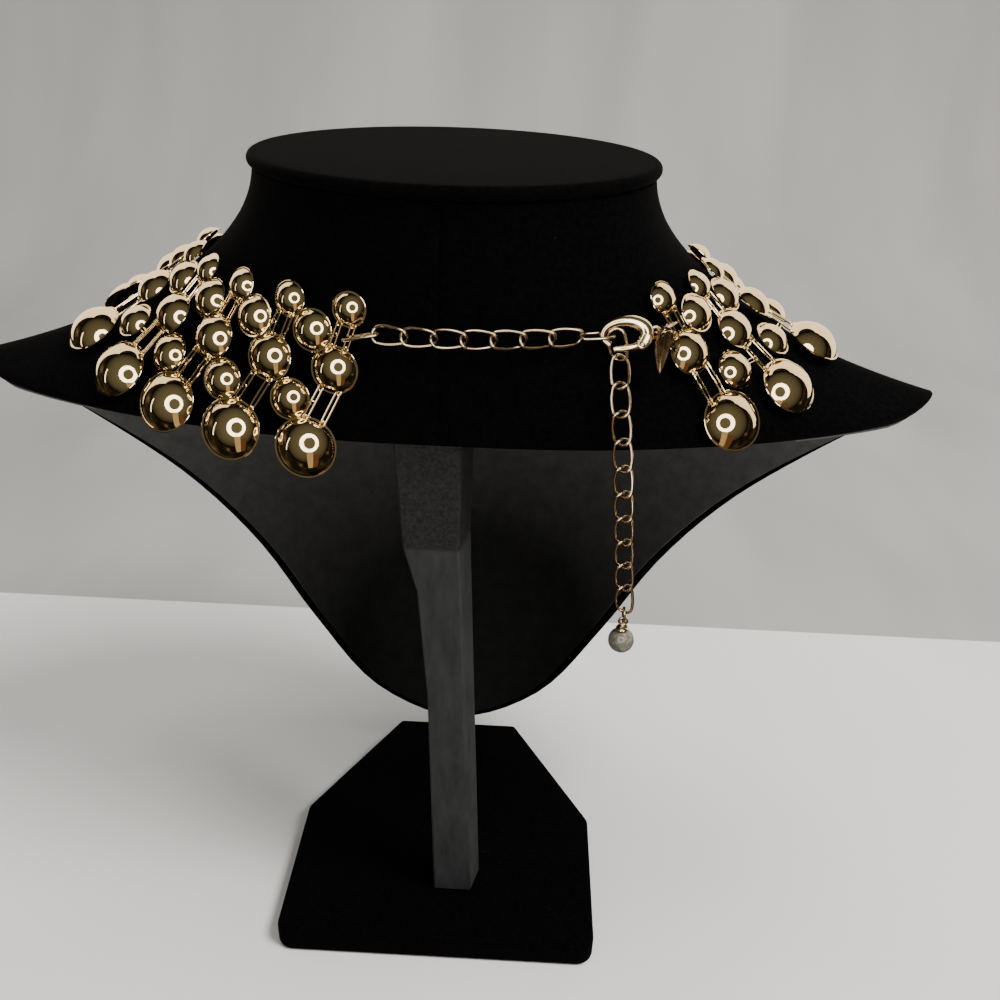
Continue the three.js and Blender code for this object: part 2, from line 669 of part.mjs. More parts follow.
function rightEndLink() {
  const end = collarEnd(2 * (COLUMN_COUNT - 1), 1);
  const centre = inClasp([RING_CENTRE, 0, 0]);
  const ringNormal = vec(0, 1, 0).transformDirection(CLASP_PLACE);
  const towards = end.at.clone().sub(centre).projectOnPlane(ringNormal);
  const far = centre.add(towards.setLength((CLASP_RING.length - CLASP_RING.wire) / 2));
  const length = far.distanceTo(end.at) + 2 * RIGHT_LINK.behind;
  const link = ovalLink(length, RIGHT_LINK.width, WIRE, RIGHT_LINK.twist);
  const facing = end.at.clone().sub(far).cross(vec(0, 0, 1));
  return linkBetween(link, far, end.at, facing, RIGHT_LINK.twist);
}

// A leaf-shaped plate that hangs by its hole from the ring.
function leafTag() {
  const shape = new THREE.Shape();
  const half = TAG.width / 2;
  shape.moveTo(0, TAG.above);
  shape.quadraticCurveTo(half, TAG.above, half * 1.1, -TAG.length * 0.3);
  shape.quadraticCurveTo(half, -TAG.length * 0.65, 0, -TAG.length);
  shape.quadraticCurveTo(-half, -TAG.length * 0.65, -half * 1.1, -TAG.length * 0.3);
  shape.quadraticCurveTo(-half, TAG.above, 0, TAG.above);
  const leaf = plate(shape, TAG.thickness).subtract(plate(round(0, 0, TAG.hole), 1));
  const angle = radians(TAG.ringAngle);
  const reach = (CLASP_RING.length - CLASP_RING.wire) / 2;
  const hung = inClasp([RING_CENTRE + reach * Math.cos(angle), -0.2, reach * Math.sin(angle)]);
  const normal = vec(Math.cos(radians(TAG.turn)), -Math.sin(radians(TAG.turn)), 0);
  return geometryOf(leaf).applyMatrix4(placement(hung, vec(0, 0, 1).cross(normal), normal));
}

// ---- Model ----------------------------------------------------------------------------

const FINISH = {
  gold: { color: 0xd9bf8c, roughness: 0.12, metalness: 1 },
  chain: { color: 0xc9b48a, roughness: 0.2, metalness: 1 },
  tag: { color: 0x9c7a4a, roughness: 0.3, metalness: 1 },
  bead: { color: 0xb9b7ad, roughness: 0.35, metalness: 0 },
  velvet: { color: 0x050505, roughness: 0.95, metalness: 0 },
  board: { color: 0x2c2d2f, roughness: 0.85, metalness: 0 },
};

const group = new THREE.Group();

function add(name, geometry, finish) {
  const mesh = new THREE.Mesh(geometry, new THREE.MeshStandardMaterial(FINISH[finish]));
  mesh.name = name;
  group.add(mesh);
}

const LINING_DEPTH = BUST_WALL + LINING_GAP;
add('bust_shell', bustWall(BUST_STATIONS, { from: -180, to: 180 }, 0, BUST_WALL), 'velvet');
add('bust_lining', bustWall(LINING_STATIONS, LINING_ANGLES, LINING_DEPTH, LINING_DEPTH + LINING_WALL), 'board');
add('neck_cap', neckCap(), 'velvet');
add('post', post(), 'board');
add('base', basePlate(), 'velvet');
for (let column = 0; column < COLUMN_COUNT; column += 1) {
  add(`collar_strand_${String(column + 1).padStart(2, '0')}`, strand(column), 'gold');
}
neckChain().forEach((link, i) => add(i === 0 ? 'end_link_left' : `chain_link_${i}`, link, 'chain'));
add('hooked_link', hookedLink(), 'chain');
add('hanging_link', hangingLink(), 'chain');
dropChain().forEach((link, i) => add(`drop_link_${i + 1}`, link, 'chain'));
add('drop_ring', dropRing(), 'chain');
add('bead_cap', beadCap(), 'chain');
add('bead', bead(), 'bead');
add('clasp_body', claspPiece(clawBody()), 'gold');
add('clasp_lever', claspPiece(lever()), 'gold');
add('clasp_ring', claspRing(), 'chain');
add('end_link_right', rightEndLink(), 'chain');
add('leaf_tag', leafTag(), 'tag');

export default group;
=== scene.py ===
# Looks of the collar choker necklace on its velvet neck bust: domed discs, links, chain, clasp,
# bead, bust, post and base. The object's sizes are in millimetres, and mesh_of() scales them to
# metres. Materials, lamps and the stage are in metres, apart from the numbers that MM multiplies.
# The bust faces +Y, so the clasp and the chain are at the back, on -Y, where the camera is.
from math import asin, ceil, cos, pi, radians, sin, sqrt

import bpy
import bmesh
import numpy as np
from mathutils import Matrix, Vector


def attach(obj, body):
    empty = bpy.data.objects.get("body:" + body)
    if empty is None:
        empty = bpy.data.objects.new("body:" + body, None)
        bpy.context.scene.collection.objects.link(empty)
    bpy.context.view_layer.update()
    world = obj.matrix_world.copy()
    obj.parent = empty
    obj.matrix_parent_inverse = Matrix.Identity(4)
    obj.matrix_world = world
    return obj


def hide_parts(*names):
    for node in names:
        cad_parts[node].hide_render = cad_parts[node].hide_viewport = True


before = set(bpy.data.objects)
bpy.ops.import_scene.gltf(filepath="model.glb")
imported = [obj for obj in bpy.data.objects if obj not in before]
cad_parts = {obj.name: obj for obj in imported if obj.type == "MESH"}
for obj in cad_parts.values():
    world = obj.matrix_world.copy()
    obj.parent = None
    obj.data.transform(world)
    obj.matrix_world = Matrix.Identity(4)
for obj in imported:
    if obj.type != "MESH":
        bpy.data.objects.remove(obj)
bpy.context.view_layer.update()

MM = 0.001
UP = Vector((0, 0, 1))

# ---- Driving dimensions ------------------------------------------------------------------
# These are the CAD part's, apart from the post, the lining's reach, the clasp's bore and lever,
# and the leaf tag, which follow the photo a little more closely.

GAP = 0.35

NECK = {"half_x": 48.6, "half_y": 42.6, "top_z": 223.0}
NECK_DROP = 22.0
NECK_FLARE = 2.0
SHOULDER_REACH = 0.5
SHOULDER_RISE = 0.2
BIB = {"bulge_y": 48.0, "rise_z": 70.0}
BUST_WALL = 2.6
LINING_WALL = 0.9
LINING_GAP = 1.0
LINING_ANGLES = (-36, 216)
LINING_REACH = (0.45, 0.996)
CAP = {"overhang": 1.2, "thickness": 3.2}

# Half of the bust's lower edge: angle, x, y, z, from the back over the shoulder to the front.
HEM = [
    (-90, 0, -46, 170),
    (-60, 40, -44, 170),
    (-40, 80, -34, 170),
    (-20, 115, -16, 170),
    (0, 128, 4, 169),
    (20, 105, 14, 146),
    (35, 84, 23, 122),
    (48, 66, 29, 95),
    (60, 50, 33, 63),
    (75, 30, 36, 32),
    (90, 0, 37, 18),
]

# Post: height, half width, middle x, back y, front y.
POST = [
    (8.35, 5.8, 4.0, -34.5, -26),
    (88, 5.1, 1.6, -36.5, -28),
    (124, 5.65, -0.3, -38, -29),
    (139, 7.0, -2.1, -40.8, -30),
    (198, 9.4, -3.8, -40.2, -31),
]
POST_BREAK_Z = 139.0
POST_SKEW = 2.4      # how much further right the far side of the post reaches

BASE = {"half_width": 48.5, "back_y": -53.0, "front_y": 44.0, "height": 8.0, "corner": 5.0}
BASE_CHAMFER = {"from_y": -2.0, "front_half_width": 22.0}

# Collar rows: radius of the disc and how far below the top row it hangs.
ROWS = [(4.0, 0.0), (4.85, 5.8), (5.5, 13.8), (4.85, 22.2), (7.25, 32.9)]
COLLAR = {"top_z": 200.0, "from_angle": -110, "to_angle": -396, "pitch": 15.1}
DOME_RISE = 0.6
STEEPNESS = 0.4
DISC_LIFT = 2.0
END_SLANT = 5.0
SLANT_FADE = 0.8
COLUMN_LINKS = [(0, 2, 1.6), (2, 4, 2.1)]    # upper row, lower row, distance off the middle
LINK_BITE = 1.3
BAR_HEIGHT = 0.495              # of the CAD's bar between discs, that the end links hold

WIRE = 0.75
LINK = {"length": 8.6, "width": 4.8, "twist": 40}
LINK_PITCH = 6.4
LINK_STRAIGHT = 2.0
END_LINK = {"length": 9.0, "width": 3.2, "behind_bar": 0.6}
CHAIN_LINKS = 7
CHAIN_Z = 195.6
CHAIN_LIFT = 2.4
CHAIN_START = -106
CHAIN_LINE_END = -30

CLASP = {"half_length": 6.1, "half_height": 4.0, "thickness": 2.2, "lift": 4.8, "past_chain": 9.1}
CLASP_HALF = CLASP["thickness"] / 2
BORE = {"u": -0.9, "half_length": 3.8, "half_height": 1.75}
TAIL_EYE = {"u": 6.4, "outer": 1.5, "inner": 0.8}
PIVOT = (3.3, -2.5)
LEVER_TIP = (-2.9, -3.1)
HOOK_WIRE = {"u": -2.95, "v": -0.04, "roll": 107.8}
HANGING_LINK = {"top": (-2.42, 0.41, -0.64), "bottom": (-1.02, -4.95, -3.0), "twist": 23.3}

DROP_ROUTE = [(40.6, -45.3, 181.5), (41.6, -47.1, 173.5), (42.4, -48.0, 166.5), (47.4, -48.3, 117.5)]
DROP_LINKS = 10
DROP_SLACK = 0.25
DROP_RING = {"length": 4.4, "width": 3.4, "wire": 0.65}
BEAD = {"radius": 3.25, "cap_radius": 1.6, "cap_height": 1.1, "sink": 0.35}
BEAD_EYE = {"outer": 1.3, "inner": 0.65}

CLASP_RING = {"length": 4.2, "wire": 0.6}
RIGHT_LINK = {"width": 3.4, "twist": 45, "behind": 1.7}
TAG = {"length": 9.4, "above": 1.5, "width": 3.9, "thickness": 0.5, "hole": 0.9,
       "ring_angle": 100, "turn": 58}

# ---- Fine detail that only the looks have ------------------------------------------------

DISC_SEGMENTS = 48
DISC_STEPS = 12
DISC_RIM = {"width": 0.42, "thickness": 0.34, "corner": (0.1, 0.08), "lip": 0.15}
DISC_SHEET = 0.35
PAIR_LINK = {"width": 1.5, "wire": 0.46, "height": 0.35, "past": 0.25}
EAR = {"radius": 0.62, "wire": 0.42, "bite": 0.1}
SIDE_LINK = {"width": 1.3, "wire": 0.42, "inside": 0.82}
WIRE_MESH = {"steps": 44, "sides": 12}
BUST_ANGLE_STEP = 3
# The point, in metres, about which the lining's painted shade is darkest.
LINING_LOW_POINT = (0.006, 0.04, 0.045)
BUST_STATIONS = 34
HEM_ROUNDING = 0.5
SEAM = {"depth": 0.45, "half_width": 0.7}

HEM_ARC = 6
SEAM_ANGLES = {-91, -90.6, -90.3, -90, -89.7, -89.4, -89}
LINING_STATIONS = 30
CAP_ARC = 10
CAP_TURNS = 120
CAP_INSETS = (5, 12, 24)
CAP_SAG = {"depth": 0.12, "inset": 12}
POST_BEVEL = (0.5, 2)          # width, segments
BASE_BEVEL = (1.3, 4)
BASE_CORNER_STEPS = 6
BEVEL_ANGLE = 25

PIVOT_CHEEK = {"thickness": 0.28, "points": [(4.5, -0.9), (4.0, -1.7), PIVOT],
               "half_widths": (1.35, 1.3, 1.15)}
HOOK = {"from": -24, "to": 226, "steps": 44, "thinning": 0.3, "tip": 0.4}
LEVER = {"steps": 14, "bow": 0.22, "half_width": 1.0, "narrowing": 0.36, "half_thickness": 0.44,
         "swell": 0.2, "tip": 0.5}
RIVET = {"head": 0.18, "shoulder": 0.14, "crown_radius": 0.35, "radius": 0.55}
LEAF = {"rows": 25, "columns": 12, "fullness": 1.05, "sheet": 0.6, "cup": 0.35, "crease": 0.14,
        "bow": 0.25}
BEAD_HOLE = 0.4
BEAD_STEPS = 26
BEAD_UNEVENNESS = 0.012


# ---- Mesh helpers ------------------------------------------------------------------------

def grid(rows, wrap_rows=False):
    """Vertices and quads of a grid given as closed rows of points."""
    rows = [[tuple(p) for p in row] for row in rows]
    count, size = len(rows), len(rows[0])
    verts = [p for row in rows for p in row]
    faces = []
    for i in range(count if wrap_rows else count - 1):
        for j in range(size):
            k, m = (i + 1) % count, (j + 1) % size
            faces.append((i * size + j, i * size + m, k * size + m, k * size + j))
    return np.array(verts, float), faces


def joined(shapes):
    """Several (vertices, faces) shapes as one."""
    verts, faces, start = [], [], 0
    for v, f in shapes:
        verts.append(v)
        faces += [tuple(i + start for i in face) for face in f]
        start += len(v)
    return np.concatenate(verts), faces


def moved(shape, matrix):
    m = np.array(matrix)
    return shape[0] @ m[:3, :3].T + m[:3, 3], shape[1]


def turns(count):
    return [2 * pi * k / count for k in range(count)]


def section(at, out, side, a, b, sides):
    """An oval ring of points, from its half sizes along two directions."""
    return [at + out * (a * cos(v)) + side * (b * sin(v)) for v in turns(sides)]


def shifted(shape, x, y, z):
    return moved(shape, Matrix.Translation((x, y, z)))


def lathe(profile, segments):
    """A surface of revolution about Z of (radius, height) points."""
    around = [(cos(v), sin(v)) for v in turns(segments)]
    return grid([[(r * c, r * s, z) for c, s in around] for r, z in profile])


def capped(shape, size):
    """A tube's grid with its first and last rings of that size closed by a face each."""
    verts, faces = shape
    last = len(verts) - size
    ends = [tuple(range(size))[::-1], tuple(range(last, last + size))]
    return verts, faces + ends


def place(origin, x_direction, z_direction):
    """A placement from an origin and two directions: local X, and local Z made square to it."""
    x = Vector(x_direction).normalized()
    y = Vector(z_direction).cross(x).normalized()
    z = x.cross(y)
    m = Matrix((x, y, z)).transposed().to_4x4()
    m.translation = Vector(origin)
    return m


def mesh_of(name, shape):
    """A mesh in metres of a shape in millimetres, with coinciding points made one."""
    mesh = bpy.data.meshes.new(name)
    mesh.from_pydata([tuple(p) for p in shape[0] * MM], [], shape[1])
    bm = bmesh.new()
    bm.from_mesh(mesh)
    bmesh.ops.remove_doubles(bm, verts=bm.verts, dist=1e-7)
    bmesh.ops.recalc_face_normals(bm, faces=bm.faces)
    bm.to_mesh(mesh)
    bm.free()
    return mesh


def in_scene(name, data):
    made = bpy.data.objects.new(name, data)
    bpy.context.scene.collection.objects.link(made)
    return made


def make(name, shape, material, node, body="root", sharp=40):
    """A piece of the object that replaces a CAD node and rides on a body."""
    mesh = mesh_of(name, shape)
    mesh.shade_smooth()
    mesh.set_sharp_from_angle(angle=radians(sharp))
    mesh.materials.append(material)
    piece = in_scene(name, mesh)
    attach(piece, body)
    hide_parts(node)
    return piece


# ---- Materials ---------------------------------------------------------------------------

def fill(node, inputs):
    """Sets a node's inputs, or feeds them from other nodes' outputs."""
    for key, value in inputs.items():
        if isinstance(value, bpy.types.NodeSocket):
            node.id_data.links.new(value, node.inputs[key])
        else:
            node.inputs[key].default_value = value


def node_in(tree, kind, inputs=None, **properties):
    """A new shader node of a kind, with its properties and inputs."""
    node = tree.nodes.new(f"ShaderNode{kind}")
    for key, value in properties.items():
        setattr(node, key, value)
    fill(node, inputs or {})
    return node


def ramp_in(tree, source, *stops):
    """A colour ramp's output, from stops of a position and a colour."""
    node = node_in(tree, "ValToRGB", {"Fac": source})
    while len(node.color_ramp.elements) < len(stops):
        node.color_ramp.elements.new(0.5)
    for element, (at, colour) in zip(node.color_ramp.elements, stops):
        element.position = at
        element.color = (*colour, 1.0)
    return node.outputs["Color"]


class Nodes:
    """A material's node tree, with short ways to add to it."""

    def __init__(self, name):
        self.material = bpy.data.materials.new(name)
        self.material.use_nodes = True
        self.tree = self.material.node_tree
        self.shader = self.tree.nodes["Principled BSDF"]
        self.position = self.add("TexCoord").outputs["Object"]

    def add(self, kind, inputs=None, **properties):
        return node_in(self.tree, kind, inputs, **properties)

    def set(self, **inputs):
        fill(self.shader, {key.replace("_", " "): value for key, value in inputs.items()})

    def noise(self, scale, detail=3, roughness=0.55, source=None):
        inputs = {"Scale": scale, "Detail": detail, "Roughness": roughness,
                  "Vector": source or self.position}
        return self.add("TexNoise", inputs).outputs["Fac"]

    def stretched(self, scale):
        inputs = {"Scale": scale, "Vector": self.position}
        return self.add("Mapping", inputs).outputs["Vector"]

    def ramp(self, source, *stops):
        return ramp_in(self.tree, source, *stops)

    def mix(self, factor, a, b):
        inputs = {"Factor": factor, 6: a, 7: b}
        return self.add("Mix", inputs, data_type="RGBA").outputs[2]

    def range(self, source, low, high, start=0.0, end=1.0):
        inputs = {"From Min": start, "From Max": end, "To Min": low, "To Max": high,
                  "Value": source}
        return self.add("MapRange", inputs).outputs["Result"]

    def bump(self, source, strength, distance):
        inputs = {"Strength": strength, "Distance": distance, "Height": source}
        self.set(Normal=self.add("Bump", inputs).outputs["Normal"])


def polished_gold(name, pale, warm, low, high):
    """Polished plating: its tint drifts a little, and faint smears change its gloss."""
    n = Nodes(name)
    tint = n.ramp(n.noise(160, 2), (0.3, pale), (0.75, warm))
    n.set(Metallic=1.0, Base_Color=tint, Roughness=n.range(n.noise(420, 4), low, high, 0.35, 0.75))
    n.bump(n.noise(2600, 2), 0.02, 0.00002)
    return n.material


def velvet():
    """Black short pile: almost no light at the middle, a soft sheen at the edges, fine lint."""
    n = Nodes("black_velvet")
    n.set(Roughness=1.0, Specular_IOR_Level=0.02, Sheen_Weight=0.012, Sheen_Roughness=0.4,
          Sheen_Tint=(0.75, 0.76, 0.8, 1.0))
    pile = n.ramp(n.noise(900, 4), (0.3, (0.0006, 0.0006, 0.0007)), (0.8, (0.0026, 0.0026, 0.0028)))
    lint = n.add("TexVoronoi", {"Scale": 260, "Vector": n.position}, feature="F1")
    speck = n.range(lint.outputs["Distance"], 1.0, 0.0, 0.035, 0.06)
    patches = n.range(n.noise(34, 2), 0.0, 1.0, 0.52, 0.66)
    both = n.add("Math", {0: speck, 1: patches}, operation="MULTIPLY").outputs[0]
    grey = n.ramp(both, (0.0, (0.01, 0.01, 0.01)), (1.0, (0.03, 0.03, 0.029)))
    n.set(Base_Color=n.mix(both, pile, grey))
    n.bump(n.noise(2400, 3, 0.7), 0.35, 0.0002)
    return n.material


def lining_board():
    """Matt dark grey paper over board, mottled, with painted shade that blackens it towards its lowest
    point.
    """
    n = Nodes("lining_board")
    mottle = n.ramp(n.noise(240, 6, 0.65),
                    (0.3, (0.080, 0.080, 0.078)), (0.75, (0.130, 0.130, 0.126)))
    fibre = n.noise(700, 5, 0.7, n.stretched((1.0, 1.0, 0.35)))
    # Painted shade: the board fades to near black about LINING_LOW_POINT, where the hollow bib lies in
    # shade.
    ends = {0: n.position, 1: LINING_LOW_POINT}
    distance = n.add("VectorMath", ends, operation="DISTANCE").outputs["Value"]
    painted_shade_mask = n.range(distance, 0.0, 1.0, 0.045, 0.17)
    black = n.ramp(n.noise(240, 3), (0.3, (0.002, 0.002, 0.002)), (0.8, (0.006, 0.006, 0.006)))
    n.set(Roughness=0.82, Specular_IOR_Level=0.2, Base_Color=n.mix(painted_shade_mask, black, mottle))
    n.bump(fibre, 0.25, 0.00015)
    return n.material


def post_board():
    """Dark grey board: smooth and scuffed below, with a coarse dark cover above the break."""
    n = Nodes("post_board")
    plain = n.ramp(n.noise(300, 6, 0.7, n.stretched((1.0, 1.0, 0.25))),
                   (0.3, (0.019, 0.020, 0.021)), (0.75, (0.040, 0.042, 0.044)))
    cover = n.ramp(n.noise(1100, 4, 0.75),
                   (0.35, (0.006, 0.006, 0.006)), (0.7, (0.026, 0.026, 0.027)))
    height = n.add("SeparateXYZ", {0: n.position}).outputs["Z"]
    upper = n.range(height, 0.0, 1.0, POST_BREAK_Z * MM - 0.001, POST_BREAK_Z * MM)
    n.set(Specular_IOR_Level=0.25, Base_Color=n.mix(upper, plain, cover),
          Roughness=n.range(n.noise(200, 3), 0.6, 0.85))
    n.bump(n.noise(1300, 4, 0.7), 0.3, 0.0002)
    return n.material


def pearly_grey():
    """A grey bead with a soft pearly coat, mottled by fine cloudy specks."""
    n = Nodes("pearly_grey")
    colour = n.ramp(n.noise(1100, 5, 0.7), (0.32, (0.08, 0.075, 0.058)), (0.55, (0.17, 0.16, 0.125)),
                    (0.75, (0.36, 0.345, 0.28)))
    n.set(Base_Color=colour, Roughness=0.3, Coat_Weight=0.5, Coat_Roughness=0.12)
    n.bump(n.noise(1500, 3), 0.25, 0.0001)
    return n.material


GOLD = polished_gold("polished_gold", (0.90, 0.72, 0.43), (0.83, 0.62, 0.35), 0.03, 0.08)
WIRE_GOLD = polished_gold("wire_gold", (0.72, 0.58, 0.39), (0.60, 0.46, 0.31), 0.12, 0.24)
CLASP_GOLD = polished_gold("clasp_gold", (0.88, 0.74, 0.48), (0.80, 0.64, 0.40), 0.10, 0.18)
TAG_GOLD = polished_gold("tag_gold", (0.52, 0.34, 0.19), (0.34, 0.20, 0.11), 0.22, 0.38)
VELVET = velvet()
LINING = lining_board()
POST_BOARD = post_board()
PEARL = pearly_grey()


# ---- Neck bust ---------------------------------------------------------------------------

def hem_half(angle):
    """A smooth curve through the hem table, at an angle from -90 (back) to 90 (front)."""
    last = len(HEM) - 1
    i = 0
    while i < last - 1 and HEM[i + 1][0] < angle:
        i += 1
    b, c = HEM[i], HEM[i + 1]
    a = HEM[i - 1] if i > 0 else (HEM[1][0], -HEM[1][1], *HEM[1][2:])
    d = HEM[i + 2] if i < last - 1 else (HEM[last - 1][0], -HEM[last - 1][1], *HEM[last - 1][2:])
    t = (angle - b[0]) / (c[0] - b[0])
    return Vector([0.5 * (2 * b[k] + (c[k] - a[k]) * t
                          + (2 * a[k] - 5 * b[k] + 4 * c[k] - d[k]) * t * t
                          + (3 * b[k] - a[k] - 3 * c[k] + d[k]) * t ** 3) for k in (1, 2, 3)])


def hem(angle):
    turned = (angle + 180) % 360 - 180
    if abs(turned) <= 90:
        return hem_half(turned)
    point = hem_half(180 - turned if turned > 0 else -180 - turned)
    return Vector((-point.x, point.y, point.z))


HANDLES = {}


def handles(angle):
    """The four Bezier points of the bust's outline at an angle, from the neck to the hem."""
    key = round(angle, 6)
    if key not in HANDLES:
        c, s = cos(radians(angle)), sin(radians(angle))
        top = Vector((NECK["half_x"] * c, NECK["half_y"] * s, NECK["top_z"]))
        edge = hem(angle)
        neck = top + Vector((NECK_FLARE * c, NECK_FLARE * s, -NECK_DROP))
        back = Vector((top.x + (edge.x - top.x) * SHOULDER_REACH, edge.y * 0.7 + top.y * 0.3,
                       edge.z + (top.z - edge.z) * SHOULDER_RISE))
        bib = edge + Vector((0, BIB["bulge_y"], BIB["rise_z"]))
        HANDLES[key] = (top, neck, back.lerp(bib, max(0.0, s)), edge)
    return HANDLES[key]


def bust_point(angle, t):
    a, b, c, d = handles(angle)
    if t > 1:
        return d + (d - c) * (3 * (t - 1))
    s = 1 - t
    return a * (s * s * s) + b * (3 * s * s * t) + c * (3 * s * t * t) + d * (t * t * t)


def bust_normal(angle, t):
    around = bust_point(angle + 0.5, t) - bust_point(angle - 0.5, t)
    down = bust_point(angle, t + 0.01) - bust_point(angle, t - 0.01)
    return down.cross(around).normalized()


def bust_offset(angle, t, lift):
    return bust_point(angle, t) + bust_normal(angle, t) * lift


def stations(start, end, count):
    return [start + (end - start) * k / (count - 1) for k in range(count)]


def seam_depth(angle):
    """How far the velvet dips at the seam down the middle of the back."""
    off = abs((angle + 90 + 180) % 360 - 180) * radians(NECK["half_x"])
    return SEAM["depth"] * max(0.0, 1 - off / SEAM["half_width"])


def bust_shell():
    """The bust's open shell: its outside, the rounded hem and its inside."""
    angles = sorted(set(range(-180, 180, BUST_ANGLE_STEP)) | SEAM_ANGLES)
    outside = stations(0, 1, BUST_STATIONS)
    rows = []
    for angle in angles:
        row = [bust_offset(angle, t, -seam_depth(angle)) for t in outside]
        middle = bust_offset(angle, 1, -BUST_WALL / 2)
        out = bust_point(angle, 1) - middle
        beyond = (bust_point(angle, 1) - bust_point(angle, 0.98)).normalized()
        for k in range(1, HEM_ARC):
            turn = pi * k / HEM_ARC
            row.append(middle + out * cos(turn) + beyond * (HEM_ROUNDING * sin(turn)))
        row += [bust_offset(angle, t, -BUST_WALL) for t in reversed(outside)]
        rows.append(row)
    make("velvet_bust", grid(rows, wrap_rows=True), VELVET, "bust_shell", sharp=60)


def bust_lining():
    """The board inside the bust's shoulders and front, open towards the back."""
    first, last = LINING_ANGLES
    depth = BUST_WALL + LINING_GAP
    heights = stations(*LINING_REACH, LINING_STATIONS)
    rows = []
    for angle in range(first, last + 1, BUST_ANGLE_STEP):
        row = [bust_offset(angle, t, -depth) for t in heights]
        row += [bust_offset(angle, t, -depth - LINING_WALL) for t in reversed(heights)]
        rows.append(row)
    shape = capped(grid(rows), len(rows[0]))
    make("board_lining", shape, LINING, "bust_lining", sharp=50)


def neck_cap():
    """The round-edged disc on the neck, a little sunk towards its middle."""
    a, b = NECK["half_x"] + CAP["overhang"], NECK["half_y"] + CAP["overhang"]
    low = NECK["top_z"] + GAP
    top = low + CAP["thickness"]
    edge = CAP["thickness"] / 2
    profile = [(a, low)]
    for k in range(CAP_ARC + 1):
        turn = pi * k / CAP_ARC
        profile.append((edge - edge * sin(turn), low + edge - edge * cos(turn)))
    for inset in (*CAP_INSETS, a):
        rise = min(1, inset / CAP_SAG["inset"])
        profile.append((inset, top - CAP_SAG["depth"] + CAP_SAG["depth"] * rise))
    rows = [[((a - min(i, a)) * cos(v), (b - min(i, a) * b / a) * sin(v), z)
             for v in turns(CAP_TURNS)] for i, z in profile]
    make("velvet_cap", grid(rows), VELVET, "neck_cap", sharp=60)


def bevel(piece, width, segments):
    """Rounds a piece's edges that are sharper than BEVEL_ANGLE."""
    modifier = piece.modifiers.new("rounded edges", "BEVEL")
    modifier.width = width * MM
    modifier.segments = segments
    modifier.limit_method = "ANGLE"
    modifier.angle_limit = radians(BEVEL_ANGLE)


def post():
    """The flat post, with its break and wider upper part."""
    rows = []
    for z, half, x, back, front in POST:
        rows.append([(x - half, back, z), (x + half, back, z),
                     (x + half + POST_SKEW, front, z), (x - half, front, z)])
    piece = make("board_post", capped(grid(rows), 4), POST_BOARD, "post", sharp=30)
    bevel(piece, *POST_BEVEL)


def base():
    """The base plate: its front corners are cut off."""
    w, back, front, r = BASE["half_width"], BASE["back_y"], BASE["front_y"], BASE["corner"]
    outline = [(-w, BASE_CHAMFER["from_y"])]
    for middle, start in ((-w + r, 180), (w - r, 270)):
        for k in range(BASE_CORNER_STEPS + 1):
            turn = radians(start + 90 / BASE_CORNER_STEPS * k)
            outline.append((middle + r * cos(turn), back + r + r * sin(turn)))
    outline += [(w, BASE_CHAMFER["from_y"]), (BASE_CHAMFER["front_half_width"], front),
                (-BASE_CHAMFER["front_half_width"], front)]
    rows = [[(x, y, z) for x, y in outline] for z in (0, BASE["height"])]
    piece = make("velvet_base", capped(grid(rows), len(outline)), VELVET, "base", sharp=50)
    bevel(piece, *BASE_BEVEL)


# ---- Collar ------------------------------------------------------------------------------

def bust_at_height(angle, z):
    low, high = 0.0, 1.0
    for _ in range(26):
        middle = (low + high) / 2
        if bust_point(angle, middle).z > z:
            low = middle
        else:
            high = middle
    return low


def fall_line(angle, t):
    """Between the steepest way down and the line that spreads out from the neck."""
    normal = bust_normal(angle, t)
    steepest = (Vector((0, 0, -1)) + normal * normal.z).normalized()
    spread = (bust_point(angle, t + 0.01) - bust_point(angle, t - 0.01)).normalized()
    return spread.lerp(steepest, STEEPNESS).normalized()


def bust_below(angle, t, distance):
    """The angle and t a distance below another place, along the fall line."""
    steps = ceil(distance / 0.5)
    for _ in range(steps):
        fall = fall_line(angle, t) * (distance / steps)
        around = bust_point(angle + 0.5, t) - bust_point(angle - 0.5, t)
        down = bust_point(angle, t + 0.005) - bust_point(angle, t - 0.005)
        aa, ad, dd = around.dot(around), around.dot(down), down.dot(down)
        fa, fd = fall.dot(around), fall.dot(down)
        determinant = aa * dd - ad * ad
        angle += (fa * dd - fd * ad) / determinant
        t += 0.01 * (fd * aa - fa * ad) / determinant
    return angle, t


def column_angles():
    """Angles of the columns and half columns, a column pitch apart round the neck."""
    ring = lambda a: bust_offset(a, bust_at_height(a, COLLAR["top_z"]), DISC_LIFT)
    angles = list(range(COLLAR["from_angle"], COLLAR["to_angle"] - 1, -1))
    points = [ring(a) for a in angles]
    walked = np.concatenate([[0], np.cumsum([(q - p).length for p, q in zip(points, points[1:])])])
    count = 2 * round(walked[-1] / COLLAR["pitch"]) + 1
    return [float(np.interp(walked[-1] * k / (count - 1), walked, angles)) for k in range(count)]


HALF_COLUMNS = column_angles()
COLUMNS = (len(HALF_COLUMNS) + 1) // 2
PLACES = {}


def disc_place(half_column, row):
    """The placement of a disc: local Z stands off the bust, Y runs downhill."""
    if (half_column, row) not in PLACES:
        drop = ROWS[row][1]
        slant = max(0.0, END_SLANT - SLANT_FADE * half_column)
        angle = HALF_COLUMNS[half_column] - slant * drop / ROWS[4][1]
        angle, t = bust_below(angle, bust_at_height(angle, COLLAR["top_z"]), drop)
        normal = bust_normal(angle, t)
        origin = bust_point(angle, t) + normal * DISC_LIFT
        PLACES[half_column, row] = place(origin, fall_line(angle, t).cross(normal), normal)
    return PLACES[half_column, row]


